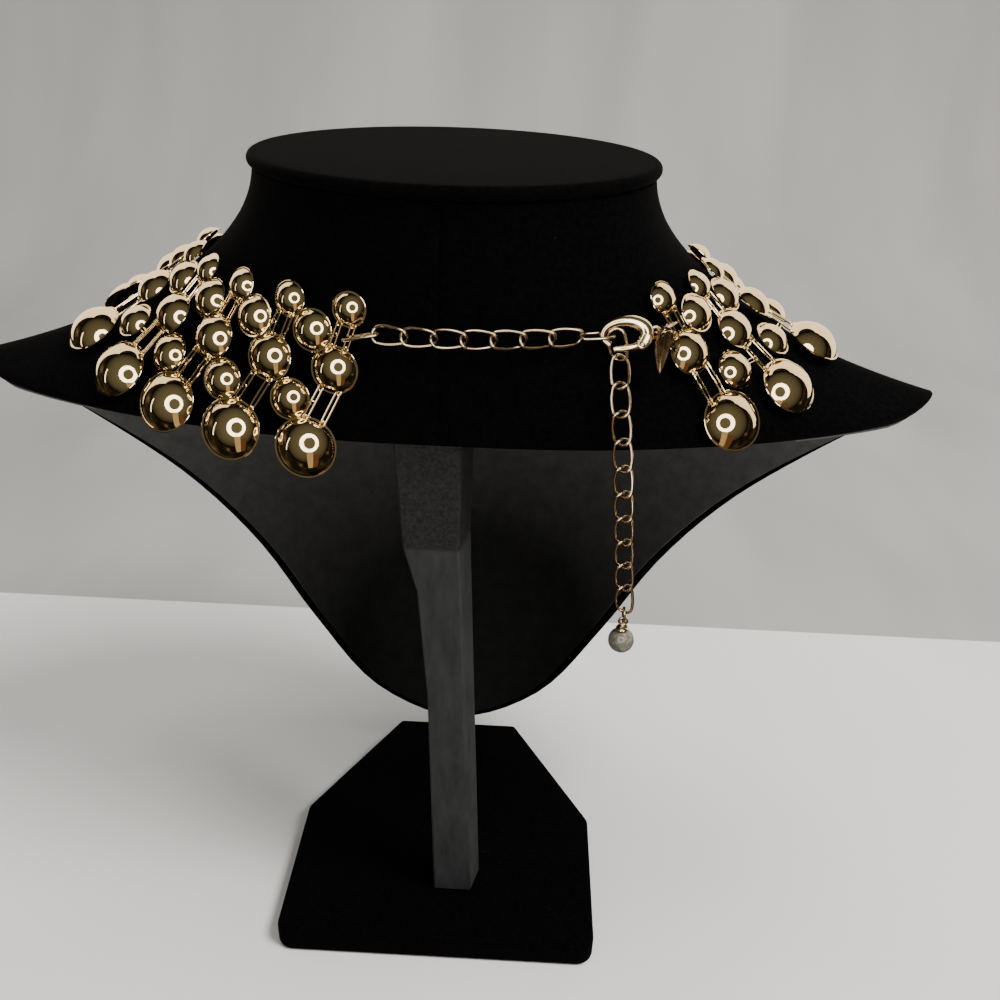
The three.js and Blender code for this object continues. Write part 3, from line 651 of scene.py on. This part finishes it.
def disc(radius):
    """A thin domed disc with a flat rim: convex outside, hollow behind."""
    inner, rise = radius - DISC_RIM["width"], DOME_RISE * radius
    edge = DISC_RIM["thickness"]

    def cap(r0, height):
        ball = (r0 * r0 + height * height) / (2 * height)
        reach = asin(r0 / ball)
        return [(ball * sin(v), ball * cos(v) - ball + height)
                for v in stations(0, reach, DISC_STEPS + 1)]

    outside = [(r, z + edge) for r, z in cap(inner, rise - edge)]
    inset, drop = DISC_RIM["corner"]
    rim = [(radius - inset, edge), (radius, edge - drop), (radius, drop), (radius - inset, 0)]
    hollow = cap(inner - DISC_RIM["lip"], rise - DISC_SHEET)
    return lathe(outside + rim + [(inner, 0)] + hollow[::-1], DISC_SEGMENTS)


DISCS = [disc(radius) for radius, _ in ROWS]


def oval_link(length, width, wire, twist, steps=None, sides=None):
    """An oval link of round wire, along X about the origin, its two ends twisted apart."""
    steps, sides = steps or WIRE_MESH["steps"], sides or WIRE_MESH["sides"]
    a, b = (length - wire) / 2, (width - wire) / 2

    def centre(u):
        turn = radians(twist) * cos(u)
        straight = max(-1.0, min(1.0, LINK_STRAIGHT * cos(u)))
        return Vector((b * cos(u) + (a - b) * straight,
                       b * sin(u) * cos(turn), b * sin(u) * sin(turn)))

    rows = []
    for u in turns(steps):
        at = centre(u)
        along = (centre(u + 0.05) - centre(u - 0.05)).normalized()
        out = (at - along * at.dot(along)).normalized()
        side = along.cross(out)
        rows.append(section(at, out, side, wire / 2, wire / 2, sides))
    return grid(rows, wrap_rows=True)


def link_between(shape, start, end, facing, roll=0.0):
    at = place(Vector(start).lerp(Vector(end), 0.5), Vector(end) - Vector(start), facing)
    return moved(shape, at @ Matrix.Rotation(radians(roll), 4, "X"))


def facing_of(matrix):
    return matrix.to_3x3() @ UP


def column_link(half_column, link, sign, height):
    """The ends of a column's link, on one side of it: sign 1 is towards the next column."""
    above, below, side = link
    upper, lower = disc_place(half_column, above), disc_place(half_column, below)
    reach = lambda row: sqrt((ROWS[row][0] - LINK_BITE) ** 2 - side * side)
    return (upper @ Vector((sign * side, reach(above), height)),
            lower @ Vector((sign * side, -reach(below), height)), facing_of(upper))


def round_ring(across, wire, steps=None, sides=None):
    return oval_link(across, across, wire, 0, steps, sides)


def ear(centre, facing):
    """A small soldered eye at a disc's rim."""
    ring = round_ring(2 * EAR["radius"] + EAR["wire"], EAR["wire"], 16, 8)
    return moved(ring, place(centre, Vector(facing).orthogonal(), facing))


def pair_link(half_column, link, sign):
    """A long double-wire link between two discs of a column, with an eye at each rim."""
    start, end, facing = column_link(half_column, link, sign, PAIR_LINK["height"])
    along = (end - start).normalized()
    length = (end - start).length + 2 * PAIR_LINK["past"]
    loop = oval_link(length, PAIR_LINK["width"], PAIR_LINK["wire"], 0, 28, 8)
    shapes = [link_between(loop, start, end, facing)]
    for row, point, way in ((link[0], start, 1), (link[1], end, -1)):
        middle = disc_place(half_column, row).translation
        out = ROWS[row][0] - (point - middle).length
        shapes.append(ear(point + along * (way * (out - EAR["bite"])), facing))
    return shapes


def strand(column):
    """A column's discs and links, with the two discs that hang beside it."""
    half = 2 * column
    shapes = [moved(DISCS[row], disc_place(half, row)) for row in (0, 2, 4)]
    for link in COLUMN_LINKS:
        for sign in (-1, 1):
            shapes += pair_link(half, link, sign)
    if column < COLUMNS - 1:
        for link in COLUMN_LINKS:
            row = link[0] + 1
            where = disc_place(half + 1, row)
            shapes.append(moved(DISCS[row], where))
            start, end, facing = column_link(half, link, 1, PAIR_LINK["height"])
            held = start.lerp(end, 0.5)
            centre = where @ Vector((0, 0, PAIR_LINK["height"]))
            rim = centre + (held - centre).normalized() * (ROWS[row][0] * SIDE_LINK["inside"])
            length = (rim - held).length + SIDE_LINK["width"]
            side = oval_link(length, SIDE_LINK["width"], SIDE_LINK["wire"], 0, 24, 8)
            shapes.append(link_between(side, held, rim, facing))
    name = f"{column + 1:02d}"
    make(f"disc_strand_{name}", joined(shapes), GOLD, f"collar_strand_{name}", sharp=35)


# ---- Chain -------------------------------------------------------------------------------

def spaced(line, start, pitch, count):
    """Points a distance apart along a line of points."""
    found, walked, following = [], 0.0, start
    for p, q in zip(line, line[1:]):
        length = (q - p).length
        while walked + length >= following and len(found) < count:
            found.append(p.lerp(q, (following - walked) / length))
            following += pitch
        walked += length
    return found


LINK_OVERLAP = LINK["length"] - LINK_PITCH


def collar_end(half_column, sign):
    """The middle of the bar that an end link holds, and the way it faces."""
    start, end, facing = column_link(half_column, COLUMN_LINKS[0], sign, BAR_HEIGHT)
    return start.lerp(end, 0.5), facing


def neck_line():
    """The line that the chain lies along, from the collar's left end round the neck."""
    start = collar_end(0, -1)[0]
    line = []
    for k in range(2 * (CHAIN_LINE_END - CHAIN_START)):
        angle = CHAIN_START + k / 2
        point = bust_offset(angle, bust_at_height(angle, CHAIN_Z), CHAIN_LIFT)
        line.append(Vector((point.x, point.y, CHAIN_Z)))
    away = (start - line[0]).normalized() * END_LINK["behind_bar"]
    return [start + away, *line]


NECK_LINE = neck_line()
CHAIN_JOINTS = [NECK_LINE[0],
                *spaced(NECK_LINE, END_LINK["length"] - LINK_OVERLAP, LINK_PITCH, CHAIN_LINKS + 1)]
CHAIN_END = CHAIN_JOINTS[CHAIN_LINKS + 1]


def clasp_place():
    """The clasp's placement: X from its hook to its tail, Y up, Z away from the neck."""
    reached = next(i for i, p in enumerate(NECK_LINE)
                   if p.x > CHAIN_END.x and (p - CHAIN_END).length > CLASP["past_chain"])
    angle = CHAIN_START + (reached - 1) * 0.5
    t = bust_at_height(angle, CHAIN_Z - 1)
    middle = bust_offset(angle, t, CLASP["lift"])
    return place(middle, middle - CHAIN_END, bust_normal(angle, t))


CLASP_PLACE = clasp_place()
CLASP_FACING = facing_of(CLASP_PLACE)


def in_clasp(u, v, w=0.0):
    return CLASP_PLACE @ Vector((u, v, w))


def chain_loop(twist=LINK["twist"]):
    return oval_link(LINK["length"], LINK["width"], WIRE, twist)


def chain_piece(node, shape):
    make(f"{node}_wire", shape, WIRE_GOLD, node, sharp=80)


def neck_chain():
    for i, (start, end) in enumerate(zip(CHAIN_JOINTS, CHAIN_JOINTS[1:])):
        facing = Vector((start.x + end.x, start.y + end.y, 0))
        if i == 0:
            shape = oval_link(END_LINK["length"], END_LINK["width"], WIRE, 0)
            chain_piece("end_link_left", link_between(shape, start, end, facing, 90))
        else:
            chain_piece(f"chain_link_{i}", link_between(chain_loop(), start, end, facing))
    to = in_clasp(HOOK_WIRE["u"], HOOK_WIRE["v"])
    hooked = link_between(chain_loop(0), CHAIN_END, to, CLASP_FACING, HOOK_WIRE["roll"])
    chain_piece("hooked_link", hooked)


def centripetal(points, count):
    """Points along a centripetal Catmull-Rom curve through some points."""
    points = [2 * points[0] - points[1], *points, 2 * points[-1] - points[-2]]
    found = []
    for i in range(1, len(points) - 2):
        p0, p1, p2, p3 = points[i - 1:i + 3]
        t0 = 0.0
        t1 = t0 + (p1 - p0).length ** 0.5
        t2 = t1 + (p2 - p1).length ** 0.5
        t3 = t2 + (p3 - p2).length ** 0.5
        for k in range(count):
            t = t1 + (t2 - t1) * k / count
            a1 = p0.lerp(p1, (t - t0) / (t1 - t0))
            a2 = p1.lerp(p2, (t - t1) / (t2 - t1))
            a3 = p2.lerp(p3, (t - t2) / (t3 - t2))
            b1 = a1.lerp(a2, (t - t0) / (t2 - t0))
            b2 = a2.lerp(a3, (t - t1) / (t3 - t1))
            found.append(b1.lerp(b2, (t - t1) / (t2 - t1)))
    return [*found, points[-2]]


DROP_LINE = centripetal([in_clasp(*HANGING_LINK["bottom"]), *[Vector(p) for p in DROP_ROUTE]], 50)
DROP_JOINTS = spaced(DROP_LINE, DROP_SLACK, LINK_PITCH, DROP_LINKS + 1)
DROP_END = DROP_JOINTS[DROP_LINKS]

RING_TOP = -LINK_OVERLAP / 2 + WIRE + GAP + DROP_RING["wire"]
RING_BOTTOM = RING_TOP - DROP_RING["length"]
EYE_CENTRE = RING_BOTTOM + 2 * DROP_RING["wire"] + GAP - BEAD_EYE["outer"]
CAP_BOTTOM = EYE_CENTRE - BEAD_EYE["outer"] + BEAD["sink"] - BEAD["cap_height"]
BEAD_CENTRE = CAP_BOTTOM - GAP - BEAD["radius"]


def below_drop(shape, z):
    return shifted(shape, *(DROP_END + UP * z))


def drop_chain():
    twist = HANGING_LINK["twist"]
    top, bottom = in_clasp(*HANGING_LINK["top"]), in_clasp(*HANGING_LINK["bottom"])
    hanging = link_between(chain_loop(twist), top, bottom, CLASP_FACING, twist)
    chain_piece("hanging_link", hanging)
    for i, (start, end) in enumerate(zip(DROP_JOINTS, DROP_JOINTS[1:])):
        chain_piece(f"drop_link_{i + 1}", link_between(chain_loop(), start, end, (0, -1, 0)))
    ring = oval_link(DROP_RING["length"], DROP_RING["width"], DROP_RING["wire"], 0)
    ring = moved(ring, place((0, 0, 0), (0, 0, 1), (1, 0, 0)))
    chain_piece("drop_ring", below_drop(ring, (RING_TOP + RING_BOTTOM) / 2))


def bead_cap():
    """An eye on a small flared cup over the bead."""
    eye = round_ring(2 * BEAD_EYE["outer"], BEAD_EYE["outer"] - BEAD_EYE["inner"])
    eye = moved(eye, place((0, 0, 0), (1, 0, 0), (0, 1, 0)))
    top, low, r = CAP_BOTTOM + BEAD["cap_height"] - EYE_CENTRE, CAP_BOTTOM - EYE_CENTRE, BEAD["cap_radius"]
    cup = lathe([(0, top), (0.35, top), (0.5, top - 0.2), (0.45, top - 0.4), (0.9, top - 0.55),
                 (r - 0.15, low + 0.3), (r, low), (r - 0.2, low - 0.08), (0.8, low + 0.25),
                 (0, low + 0.3)], 32)
    shape = below_drop(joined([eye, cup]), EYE_CENTRE)
    make("bead_cup", shape, WIRE_GOLD, "bead_cap", sharp=50)


def bead():
    """A slightly uneven drilled bead."""
    r, hole = BEAD["radius"], BEAD_HOLE
    start = asin(hole / r)
    mouth = [(0, r * 0.6), (hole - 0.06, r * 0.62), (hole - 0.02, r * cos(start) - 0.12)]
    profile = list(mouth)
    for k in range(BEAD_STEPS + 1):
        v = start + (pi - 2 * start) * k / BEAD_STEPS
        profile.append((r * sin(v), r * cos(v)))
    profile += [(across, -z) for across, z in reversed(mouth)]
    verts, faces = lathe(profile, 56)
    x, y, z = verts.T
    lumps = 1 + np.sin(x * 2.1 + 1) * np.cos(y * 1.9) * np.sin(z * 1.7)
    shape = (verts * (1 - BEAD_UNEVENNESS * lumps)[:, None], faces)
    make("pearly_bead", below_drop(shape, BEAD_CENTRE), PEARL, "bead", sharp=50)


# ---- Clasp -------------------------------------------------------------------------------

def oval_sweep(points, halves, sides=20):
    """A closed bar along points in the clasp's plane, with oval sections: half sizes in the
    plane and across it."""
    rows = []
    for i, (u, v) in enumerate(points):
        before, after = points[max(i - 1, 0)], points[min(i + 1, len(points) - 1)]
        along = Vector((after[0] - before[0], after[1] - before[1], 0)).normalized()
        out = Vector((along.y, -along.x, 0))
        rows.append(section(Vector((u, v, 0)), out, UP, *halves[i], sides))
    return capped(grid(rows), sides)


def rounded_ends(points, halves, tip=0.9, steps=5):
    """Adds shrinking sections at both ends of a bar, so that its ends are round: the second end
    goes on by a share of its half width that is called tip."""
    def end(point, towards, half, share):
        way = Vector((point[0] - towards[0], point[1] - towards[1])).normalized()
        found = []
        for k in range(1, steps + 1):
            turn = pi / 2 * k / steps
            reach = half[0] * share * sin(turn)
            size = max(cos(turn), 0.04)
            at = (point[0] + way.x * reach, point[1] + way.y * reach)
            found.append((at, (half[0] * size, half[1] * size)))
        return found

    first = end(points[0], points[1], halves[0], 0.9)[::-1]
    last = end(points[-1], points[-2], halves[-1], tip)
    points = [p for p, _ in first] + list(points) + [p for p, _ in last]
    halves = [h for _, h in first] + list(halves) + [h for _, h in last]
    return points, halves


def cheek(w):
    """A thin plate from the body to the pivot, on one side of the lever."""
    halves = [(width, PIVOT_CHEEK["thickness"]) for width in PIVOT_CHEEK["half_widths"]]
    plate = oval_sweep(*rounded_ends(PIVOT_CHEEK["points"], halves))
    return shifted(plate, 0, 0, w)


def rivet():
    """The pin through the cheeks and the lever, with a low crown on each end."""
    half, crown, radius = CLASP_HALF, RIVET["crown_radius"], RIVET["radius"]
    end = [(0, half + RIVET["head"]), (crown, half + RIVET["shoulder"]), (radius, half)]
    pin = lathe([*end, *[(r, -z) for r, z in reversed(end)]], 20)
    return shifted(pin, *PIVOT, 0)


def clasp_body():
    """The clasp's hook: a fat bar round the bore from the pivot to the tip, and its tail eye."""
    outer = (CLASP["half_length"], CLASP["half_height"])
    points, halves = [], []
    for k in range(HOOK["steps"] + 1):
        angle = radians(HOOK["from"] + k * (HOOK["to"] - HOOK["from"]) / HOOK["steps"])
        c, s = cos(angle), sin(angle)
        out = Vector((outer[0] * c, outer[1] * s))
        within = Vector((BORE["u"] + BORE["half_length"] * c, BORE["half_height"] * s))
        middle = (out + within) / 2
        points.append((middle.x, middle.y))
        width = (out - within).length / 2
        across = CLASP_HALF * (1.0 - HOOK["thinning"] * max(0.0, -c))
        halves.append((width, across))
    bar = oval_sweep(*rounded_ends(points, halves, HOOK["tip"]))
    eye = round_ring(2 * TAIL_EYE["outer"], TAIL_EYE["outer"] - TAIL_EYE["inner"])
    eye = shifted(eye, TAIL_EYE["u"], 0, 0)
    side = CLASP_HALF - PIVOT_CHEEK["thickness"]
    shape = joined([bar, eye, cheek(side), cheek(-side), rivet()])
    make("clasp_hook", moved(shape, CLASP_PLACE), CLASP_GOLD, "clasp_body", sharp=55)


def clasp_lever():
    """The lever: a bar from its knuckle at the pivot to the hook's tip, bowed outwards."""
    (u0, v0), (u1, v1) = PIVOT, LEVER_TIP
    points, halves = [], []
    for k in range(LEVER["steps"] + 1):
        t = k / LEVER["steps"]
        bow = -LEVER["bow"] * sin(pi * t)
        points.append((u0 + (u1 - u0) * t, v0 + (v1 - v0) * t + bow))
        swell = LEVER["swell"] * sin(pi * min(1, 1.3 * t))
        halves.append((LEVER["half_width"] - LEVER["narrowing"] * t, LEVER["half_thickness"] + swell))
    shape = moved(oval_sweep(*rounded_ends(points, halves, LEVER["tip"])), CLASP_PLACE)
    make("clasp_thumb_lever", shape, CLASP_GOLD, "clasp_lever", "clasp_lever", 55)


RING_REACH = (CLASP_RING["length"] - CLASP_RING["wire"]) / 2
RING_CENTRE = TAIL_EYE["u"] + RING_REACH


def right_end():
    """The ring in the clasp's tail eye, and the link from it to the collar's right end."""
    ring = round_ring(CLASP_RING["length"], CLASP_RING["wire"])
    ring = moved(ring, Matrix.Translation((RING_CENTRE, 0, 0)) @ Matrix.Rotation(pi / 2, 4, "X"))
    chain_piece("clasp_ring", moved(ring, CLASP_PLACE))
    end = collar_end(2 * (COLUMNS - 1), 1)[0]
    centre = in_clasp(RING_CENTRE, 0)
    normal = CLASP_PLACE.to_3x3() @ Vector((0, 1, 0))
    towards = end - centre
    towards -= normal * towards.dot(normal)
    far = centre + towards.normalized() * RING_REACH
    length = (end - far).length + 2 * RIGHT_LINK["behind"]
    link = oval_link(length, RIGHT_LINK["width"], WIRE, RIGHT_LINK["twist"])
    facing = (end - far).cross(UP)
    chain_piece("end_link_right", link_between(link, far, end, facing, RIGHT_LINK["twist"]))


def leaf_tag():
    """A cupped leaf with a crease down its middle, hung by a hole near its top."""
    half = TAG["width"] / 2 * LEAF["fullness"]
    thick = TAG["thickness"] / 2 * LEAF["sheet"]
    rows = []
    for i in range(LEAF["rows"]):
        t = i / (LEAF["rows"] - 1)
        y = TAG["above"] - (TAG["above"] + TAG["length"]) * t
        wide = half * sin(pi * min(1.0, t ** 0.62)) ** 0.75 + 0.02
        row = []
        for j in range(LEAF["columns"] + 1):
            s = 2 * j / LEAF["columns"] - 1
            cup = LEAF["cup"] * s * s * (wide / half) - LEAF["crease"] * max(0.0, 1 - abs(s) * 4)
            row.append((s * wide, y, cup - LEAF["bow"] * sin(pi * t)))
        rows.append([(x, y, z + thick) for x, y, z in row] + [(x, y, z - thick) for x, y, z in row[::-1]])
    leaf = capped(grid(rows), len(rows[0]))
    angle = radians(TAG["ring_angle"])
    hung = in_clasp(RING_CENTRE + RING_REACH * cos(angle), -0.2, RING_REACH * sin(angle))
    turn = radians(TAG["turn"])
    normal = Vector((cos(turn), -sin(turn), 0))
    at = place(hung, UP.cross(normal), normal)
    piece = make("leaf_plate", moved(leaf, at), TAG_GOLD, "leaf_tag", sharp=45)
    hole = TAG["hole"] * 0.9
    cutter = lathe([(0, 2), (hole, 2), (hole, -2), (0, -2)], 20)
    drill(piece, moved(cutter, at))


def drill(piece, cutter):
    """Cuts a shape in millimetres out of a piece, and keeps the result as its mesh."""
    tool = in_scene("drill", mesh_of("drill", cutter))
    cut = piece.modifiers.new("drill", "BOOLEAN")
    cut.operation = "DIFFERENCE"
    cut.object = tool
    bpy.context.view_layer.update()
    depsgraph = bpy.context.evaluated_depsgraph_get()
    made = bpy.data.meshes.new_from_object(piece.evaluated_get(depsgraph))
    piece.modifiers.clear()
    piece.data = made
    bpy.data.objects.remove(tool)


# ---- Stage, lights and camera ------------------------------------------------------------

CAMERA = {"at": (18.5, -243.0, 264.0), "yaw": -1.1, "pitch": 28.6, "roll": 2.2, "lens": 34.56,
          "sensor": 36}
TABLE_EDGE_Y = 126.4


def camera():
    """Makes the camera at the photo's viewpoint, and gives its placement."""
    yaw, pitch, roll = (radians(CAMERA[k]) for k in ("yaw", "pitch", "roll"))
    forward = Vector((sin(yaw) * cos(pitch), cos(yaw) * cos(pitch),
                      -sin(pitch)))
    level = Vector((cos(yaw), -sin(yaw), 0))
    upright = level.cross(forward)
    right = level * cos(roll) + upright * sin(roll)
    up = upright * cos(roll) - level * sin(roll)
    matrix = Matrix((right, up, -forward)).transposed().to_4x4()
    matrix.translation = Vector(CAMERA["at"]) * MM
    data = bpy.data.cameras.new("camera")
    data.lens = CAMERA["lens"]
    data.sensor_width = CAMERA["sensor"]
    data.clip_start = 0.01
    data.clip_end = 20
    made = in_scene("camera", data)
    made.matrix_world = matrix
    bpy.context.scene.camera = made
    return matrix


def stage_object(name, verts, faces, material):
    mesh = bpy.data.meshes.new(name)
    mesh.from_pydata(verts, [], faces)
    mesh.materials.append(material)
    made = in_scene(name, mesh)
    return made


def cloth_material(name, low, high, scale, stretch):
    """Matt woven cloth whose brightness drifts in broad soft patches; stretched upright, the drift is
    painted shade of soft folds.
    """
    n = Nodes(name)
    drift = n.noise(scale, 3, 0.5, n.stretched(stretch))
    n.set(Base_Color=n.ramp(drift, (0.3, low), (0.7, high)), Roughness=0.9, Specular_IOR_Level=0.1)
    n.bump(n.noise(1500, 2), 0.15, 0.0002)
    return n.material


def stage_floor():
    """A pale table top, and beyond its far edge a grey cloth that sweeps up behind. The polished
    metal does not mirror them: it mirrors the darker room of room() and reflections()."""
    far, edge, top = 2.0, TABLE_EDGE_Y * MM, -0.0001
    table = cloth_material("pale_table", (0.75, 0.735, 0.71), (0.81, 0.795, 0.77), 6, (1, 1, 1))
    # The grey cloth's brightness is stretched into upright bands: painted shade of soft vertical folds.
    cloth = cloth_material("grey_cloth", (0.335, 0.33, 0.318), (0.42, 0.413, 0.398), 9, (1, 0.4, 0.15))
    corners = [(-far, -far, top), (far, -far, top), (far, edge, top), (-far, edge, top)]
    table_top = stage_object("table_top", corners, [(0, 1, 2, 3)], table)
    back, bend, drop = 0.78, 0.3, -0.0006
    line = [(edge - 0.02, drop), (back - bend, drop)]
    for k in range(1, 11):
        turn = radians(9 * k)
        line.append((back - bend + bend * sin(turn), drop + bend - bend * cos(turn)))
    line.append((back, 2.2))
    verts = [(x, y, z) for y, z in line for x in (-far, far)]
    faces = [(2 * k, 2 * k + 1, 2 * k + 3, 2 * k + 2) for k in range(len(line) - 1)]
    sweep = stage_object("backdrop_cloth", verts, faces, cloth)
    sweep.data.shade_smooth()
    table_top.visible_glossy = False
    sweep.visible_glossy = False


def glow(name, colour, strength):
    material = bpy.data.materials.new(name)
    material.use_nodes = True
    tree = material.node_tree
    tree.nodes.clear()
    emission = node_in(tree, "Emission", {"Color": (*colour, 1.0), "Strength": strength})
    node_in(tree, "OutputMaterial", {"Surface": emission.outputs[0]})
    return material


def mirror_card(name, verts, faces, material):
    """A glowing card that is out of sight, and that only mirrors see."""
    made = stage_object(name, verts, faces, material)
    made.visible_camera = False
    made.visible_diffuse = False
    made.visible_shadow = False
    made.visible_transmission = False


def fading(material, centre, reach):
    """Makes a glow fade to nothing at a distance from its centre."""
    tree = material.node_tree
    emission = next(node for node in tree.nodes if node.type == "EMISSION")
    position = node_in(tree, "TexCoord").outputs["Object"]
    ends = {0: position, 1: centre}
    distance = node_in(tree, "VectorMath", ends, operation="DISTANCE").outputs["Value"]
    inputs = {"From Max": reach, "To Min": emission.inputs["Strength"].default_value,
              "To Max": 0.0, "Value": distance}
    fade = node_in(tree, "MapRange", inputs, interpolation_type="SMOOTHSTEP")
    fill(emission, {"Strength": fade.outputs["Result"]})
    return material


def annulus(at, inner, outer, count=64):
    verts = [at @ Vector((radius * cos(v), radius * sin(v), 0))
             for radius in (inner, outer) for v in turns(count)]
    return verts, [(k, (k + 1) % count, count + (k + 1) % count, count + k) for k in range(count)]


def ring_light(view):
    """A ring light fixed round the photo's viewpoint, and the dim halo about it."""
    away = facing_of(view)
    at = Matrix.Translation(away * 0.03) @ view
    light = glow("ring_glow", (1.0, 0.98, 0.95), 6.0)
    mirror_card("ring_light", *annulus(at, 0.090, 0.156), light)
    far = Matrix.Translation(away * 0.05) @ view
    halo = fading(glow("halo_glow", (0.60, 0.57, 0.40), 0.26), far.translation, 0.95)
    mirror_card("halo", *annulus(far, 0.001, 1.0), halo)


def card(name, corners, colour, strength):
    """A glowing card for the mirrors, from four corners in millimetres."""
    verts = [tuple(c * MM for c in corner) for corner in corners]
    mirror_card(name, verts, [(0, 1, 2, 3)], glow(f"{name}_glow", colour, strength))


def curtain():
    """A pale wall behind that only shows in the polished metal."""
    radius, first, last, count = 0.62, 6, 164, 30
    bends = [radians(a) for a in stations(first, last, count + 1)]
    verts = [(radius * cos(v), radius * sin(v), z) for z in (0.06, 1.45) for v in bends]
    row = count + 1
    faces = [(k, k + 1, row + k + 1, row + k) for k in range(count)]
    light = glow("curtain_glow", (1.0, 0.89, 0.72), 1.9)
    mirror_card("pale_curtain", verts, faces, light)


def area_lamp(name, at, towards, size, energy, colour):
    lamp = bpy.data.lights.new(name, "AREA")
    lamp.shape = "DISK"
    lamp.size = size
    lamp.energy = energy
    lamp.color = colour
    made = in_scene(name, lamp)
    made.location = at
    made.rotation_euler = (Vector(towards) - Vector(at)).to_track_quat("-Z", "Y").to_euler()
    made.visible_glossy = False


def background(tree, colour, strength):
    inputs = {"Color": colour, "Strength": strength}
    return node_in(tree, "Background", inputs).outputs[0]


def room():
    """Pale grey where the camera sees past the cloth, an even fill on matt things, and in the
    mirrors a dim brown room with a few lighter patches."""
    world = bpy.data.worlds.new("room")
    world.use_nodes = True
    bpy.context.scene.world = world
    tree = world.node_tree
    path = node_in(tree, "LightPath").outputs
    around = node_in(tree, "TexCoord").outputs["Generated"]
    clutter = node_in(tree, "TexNoise", {"Scale": 2.6, "Detail": 4, "Vector": around})
    patches = ramp_in(tree, clutter.outputs["Fac"], (0.46, (0.010, 0.009, 0.006)),
                      (0.60, (0.040, 0.031, 0.021)), (0.74, (0.26, 0.19, 0.125)))
    seen = background(tree, (0.37, 0.363, 0.35, 1.0), 1.0)
    even = background(tree, (1.0, 0.99, 0.98, 1.0), 0.42)

    def either(ray, otherwise, chosen):
        inputs = {0: path[ray], 1: otherwise, 2: chosen}
        return node_in(tree, "MixShader", inputs).outputs[0]

    unseen = either("Is Glossy Ray", even, background(tree, patches, 1.0))
    output = next(node for node in tree.nodes if node.type == "OUTPUT_WORLD")
    fill(output, {"Surface": either("Is Camera Ray", unseen, seen)})


def lights():
    """A soft lamp from the right, and one that lights the cloth behind."""
    area_lamp("key_lamp", (0.75, -0.35, 1.25), (0, 0, 0.1), 0.5, 26.0, (1.0, 0.985, 0.96))
    area_lamp("backdrop_lamp", (0.0, 0.1, 1.7), (0, 0.7, 0.3), 0.8, 10.0, (1.0, 0.99, 0.97))


def reflections():
    """What the polished discs mirror beside the ring light: a pale wall, a tan and a brown card
    below the light, and a slit of window to the left."""
    curtain()
    card("tan_card", [(-50, -340, -480), (70, -340, -480), (80, -340, 190), (-20, -340, 190)],
         (0.80, 0.62, 0.38), 0.70)
    card("brown_card", [(70, -345, -520), (240, -345, -520), (200, -345, 90), (80, -345, 90)],
         (0.42, 0.19, 0.10), 0.34)
    card("window_slit", [(-440, -175, 90), (-405, -190, 90), (-365, -190, 330), (-395, -175, 330)],
         (1.0, 0.97, 0.9), 3.0)


# ---- Everything --------------------------------------------------------------------------

VIEW = camera()
stage_floor()
ring_light(VIEW)
room()
lights()
reflections()

bust_shell()
bust_lining()
neck_cap()
post()
base()
for number in range(COLUMNS):
    strand(number)
neck_chain()
drop_chain()
bead_cap()
bead()
clasp_body()
clasp_lever()
right_end()
leaf_tag()
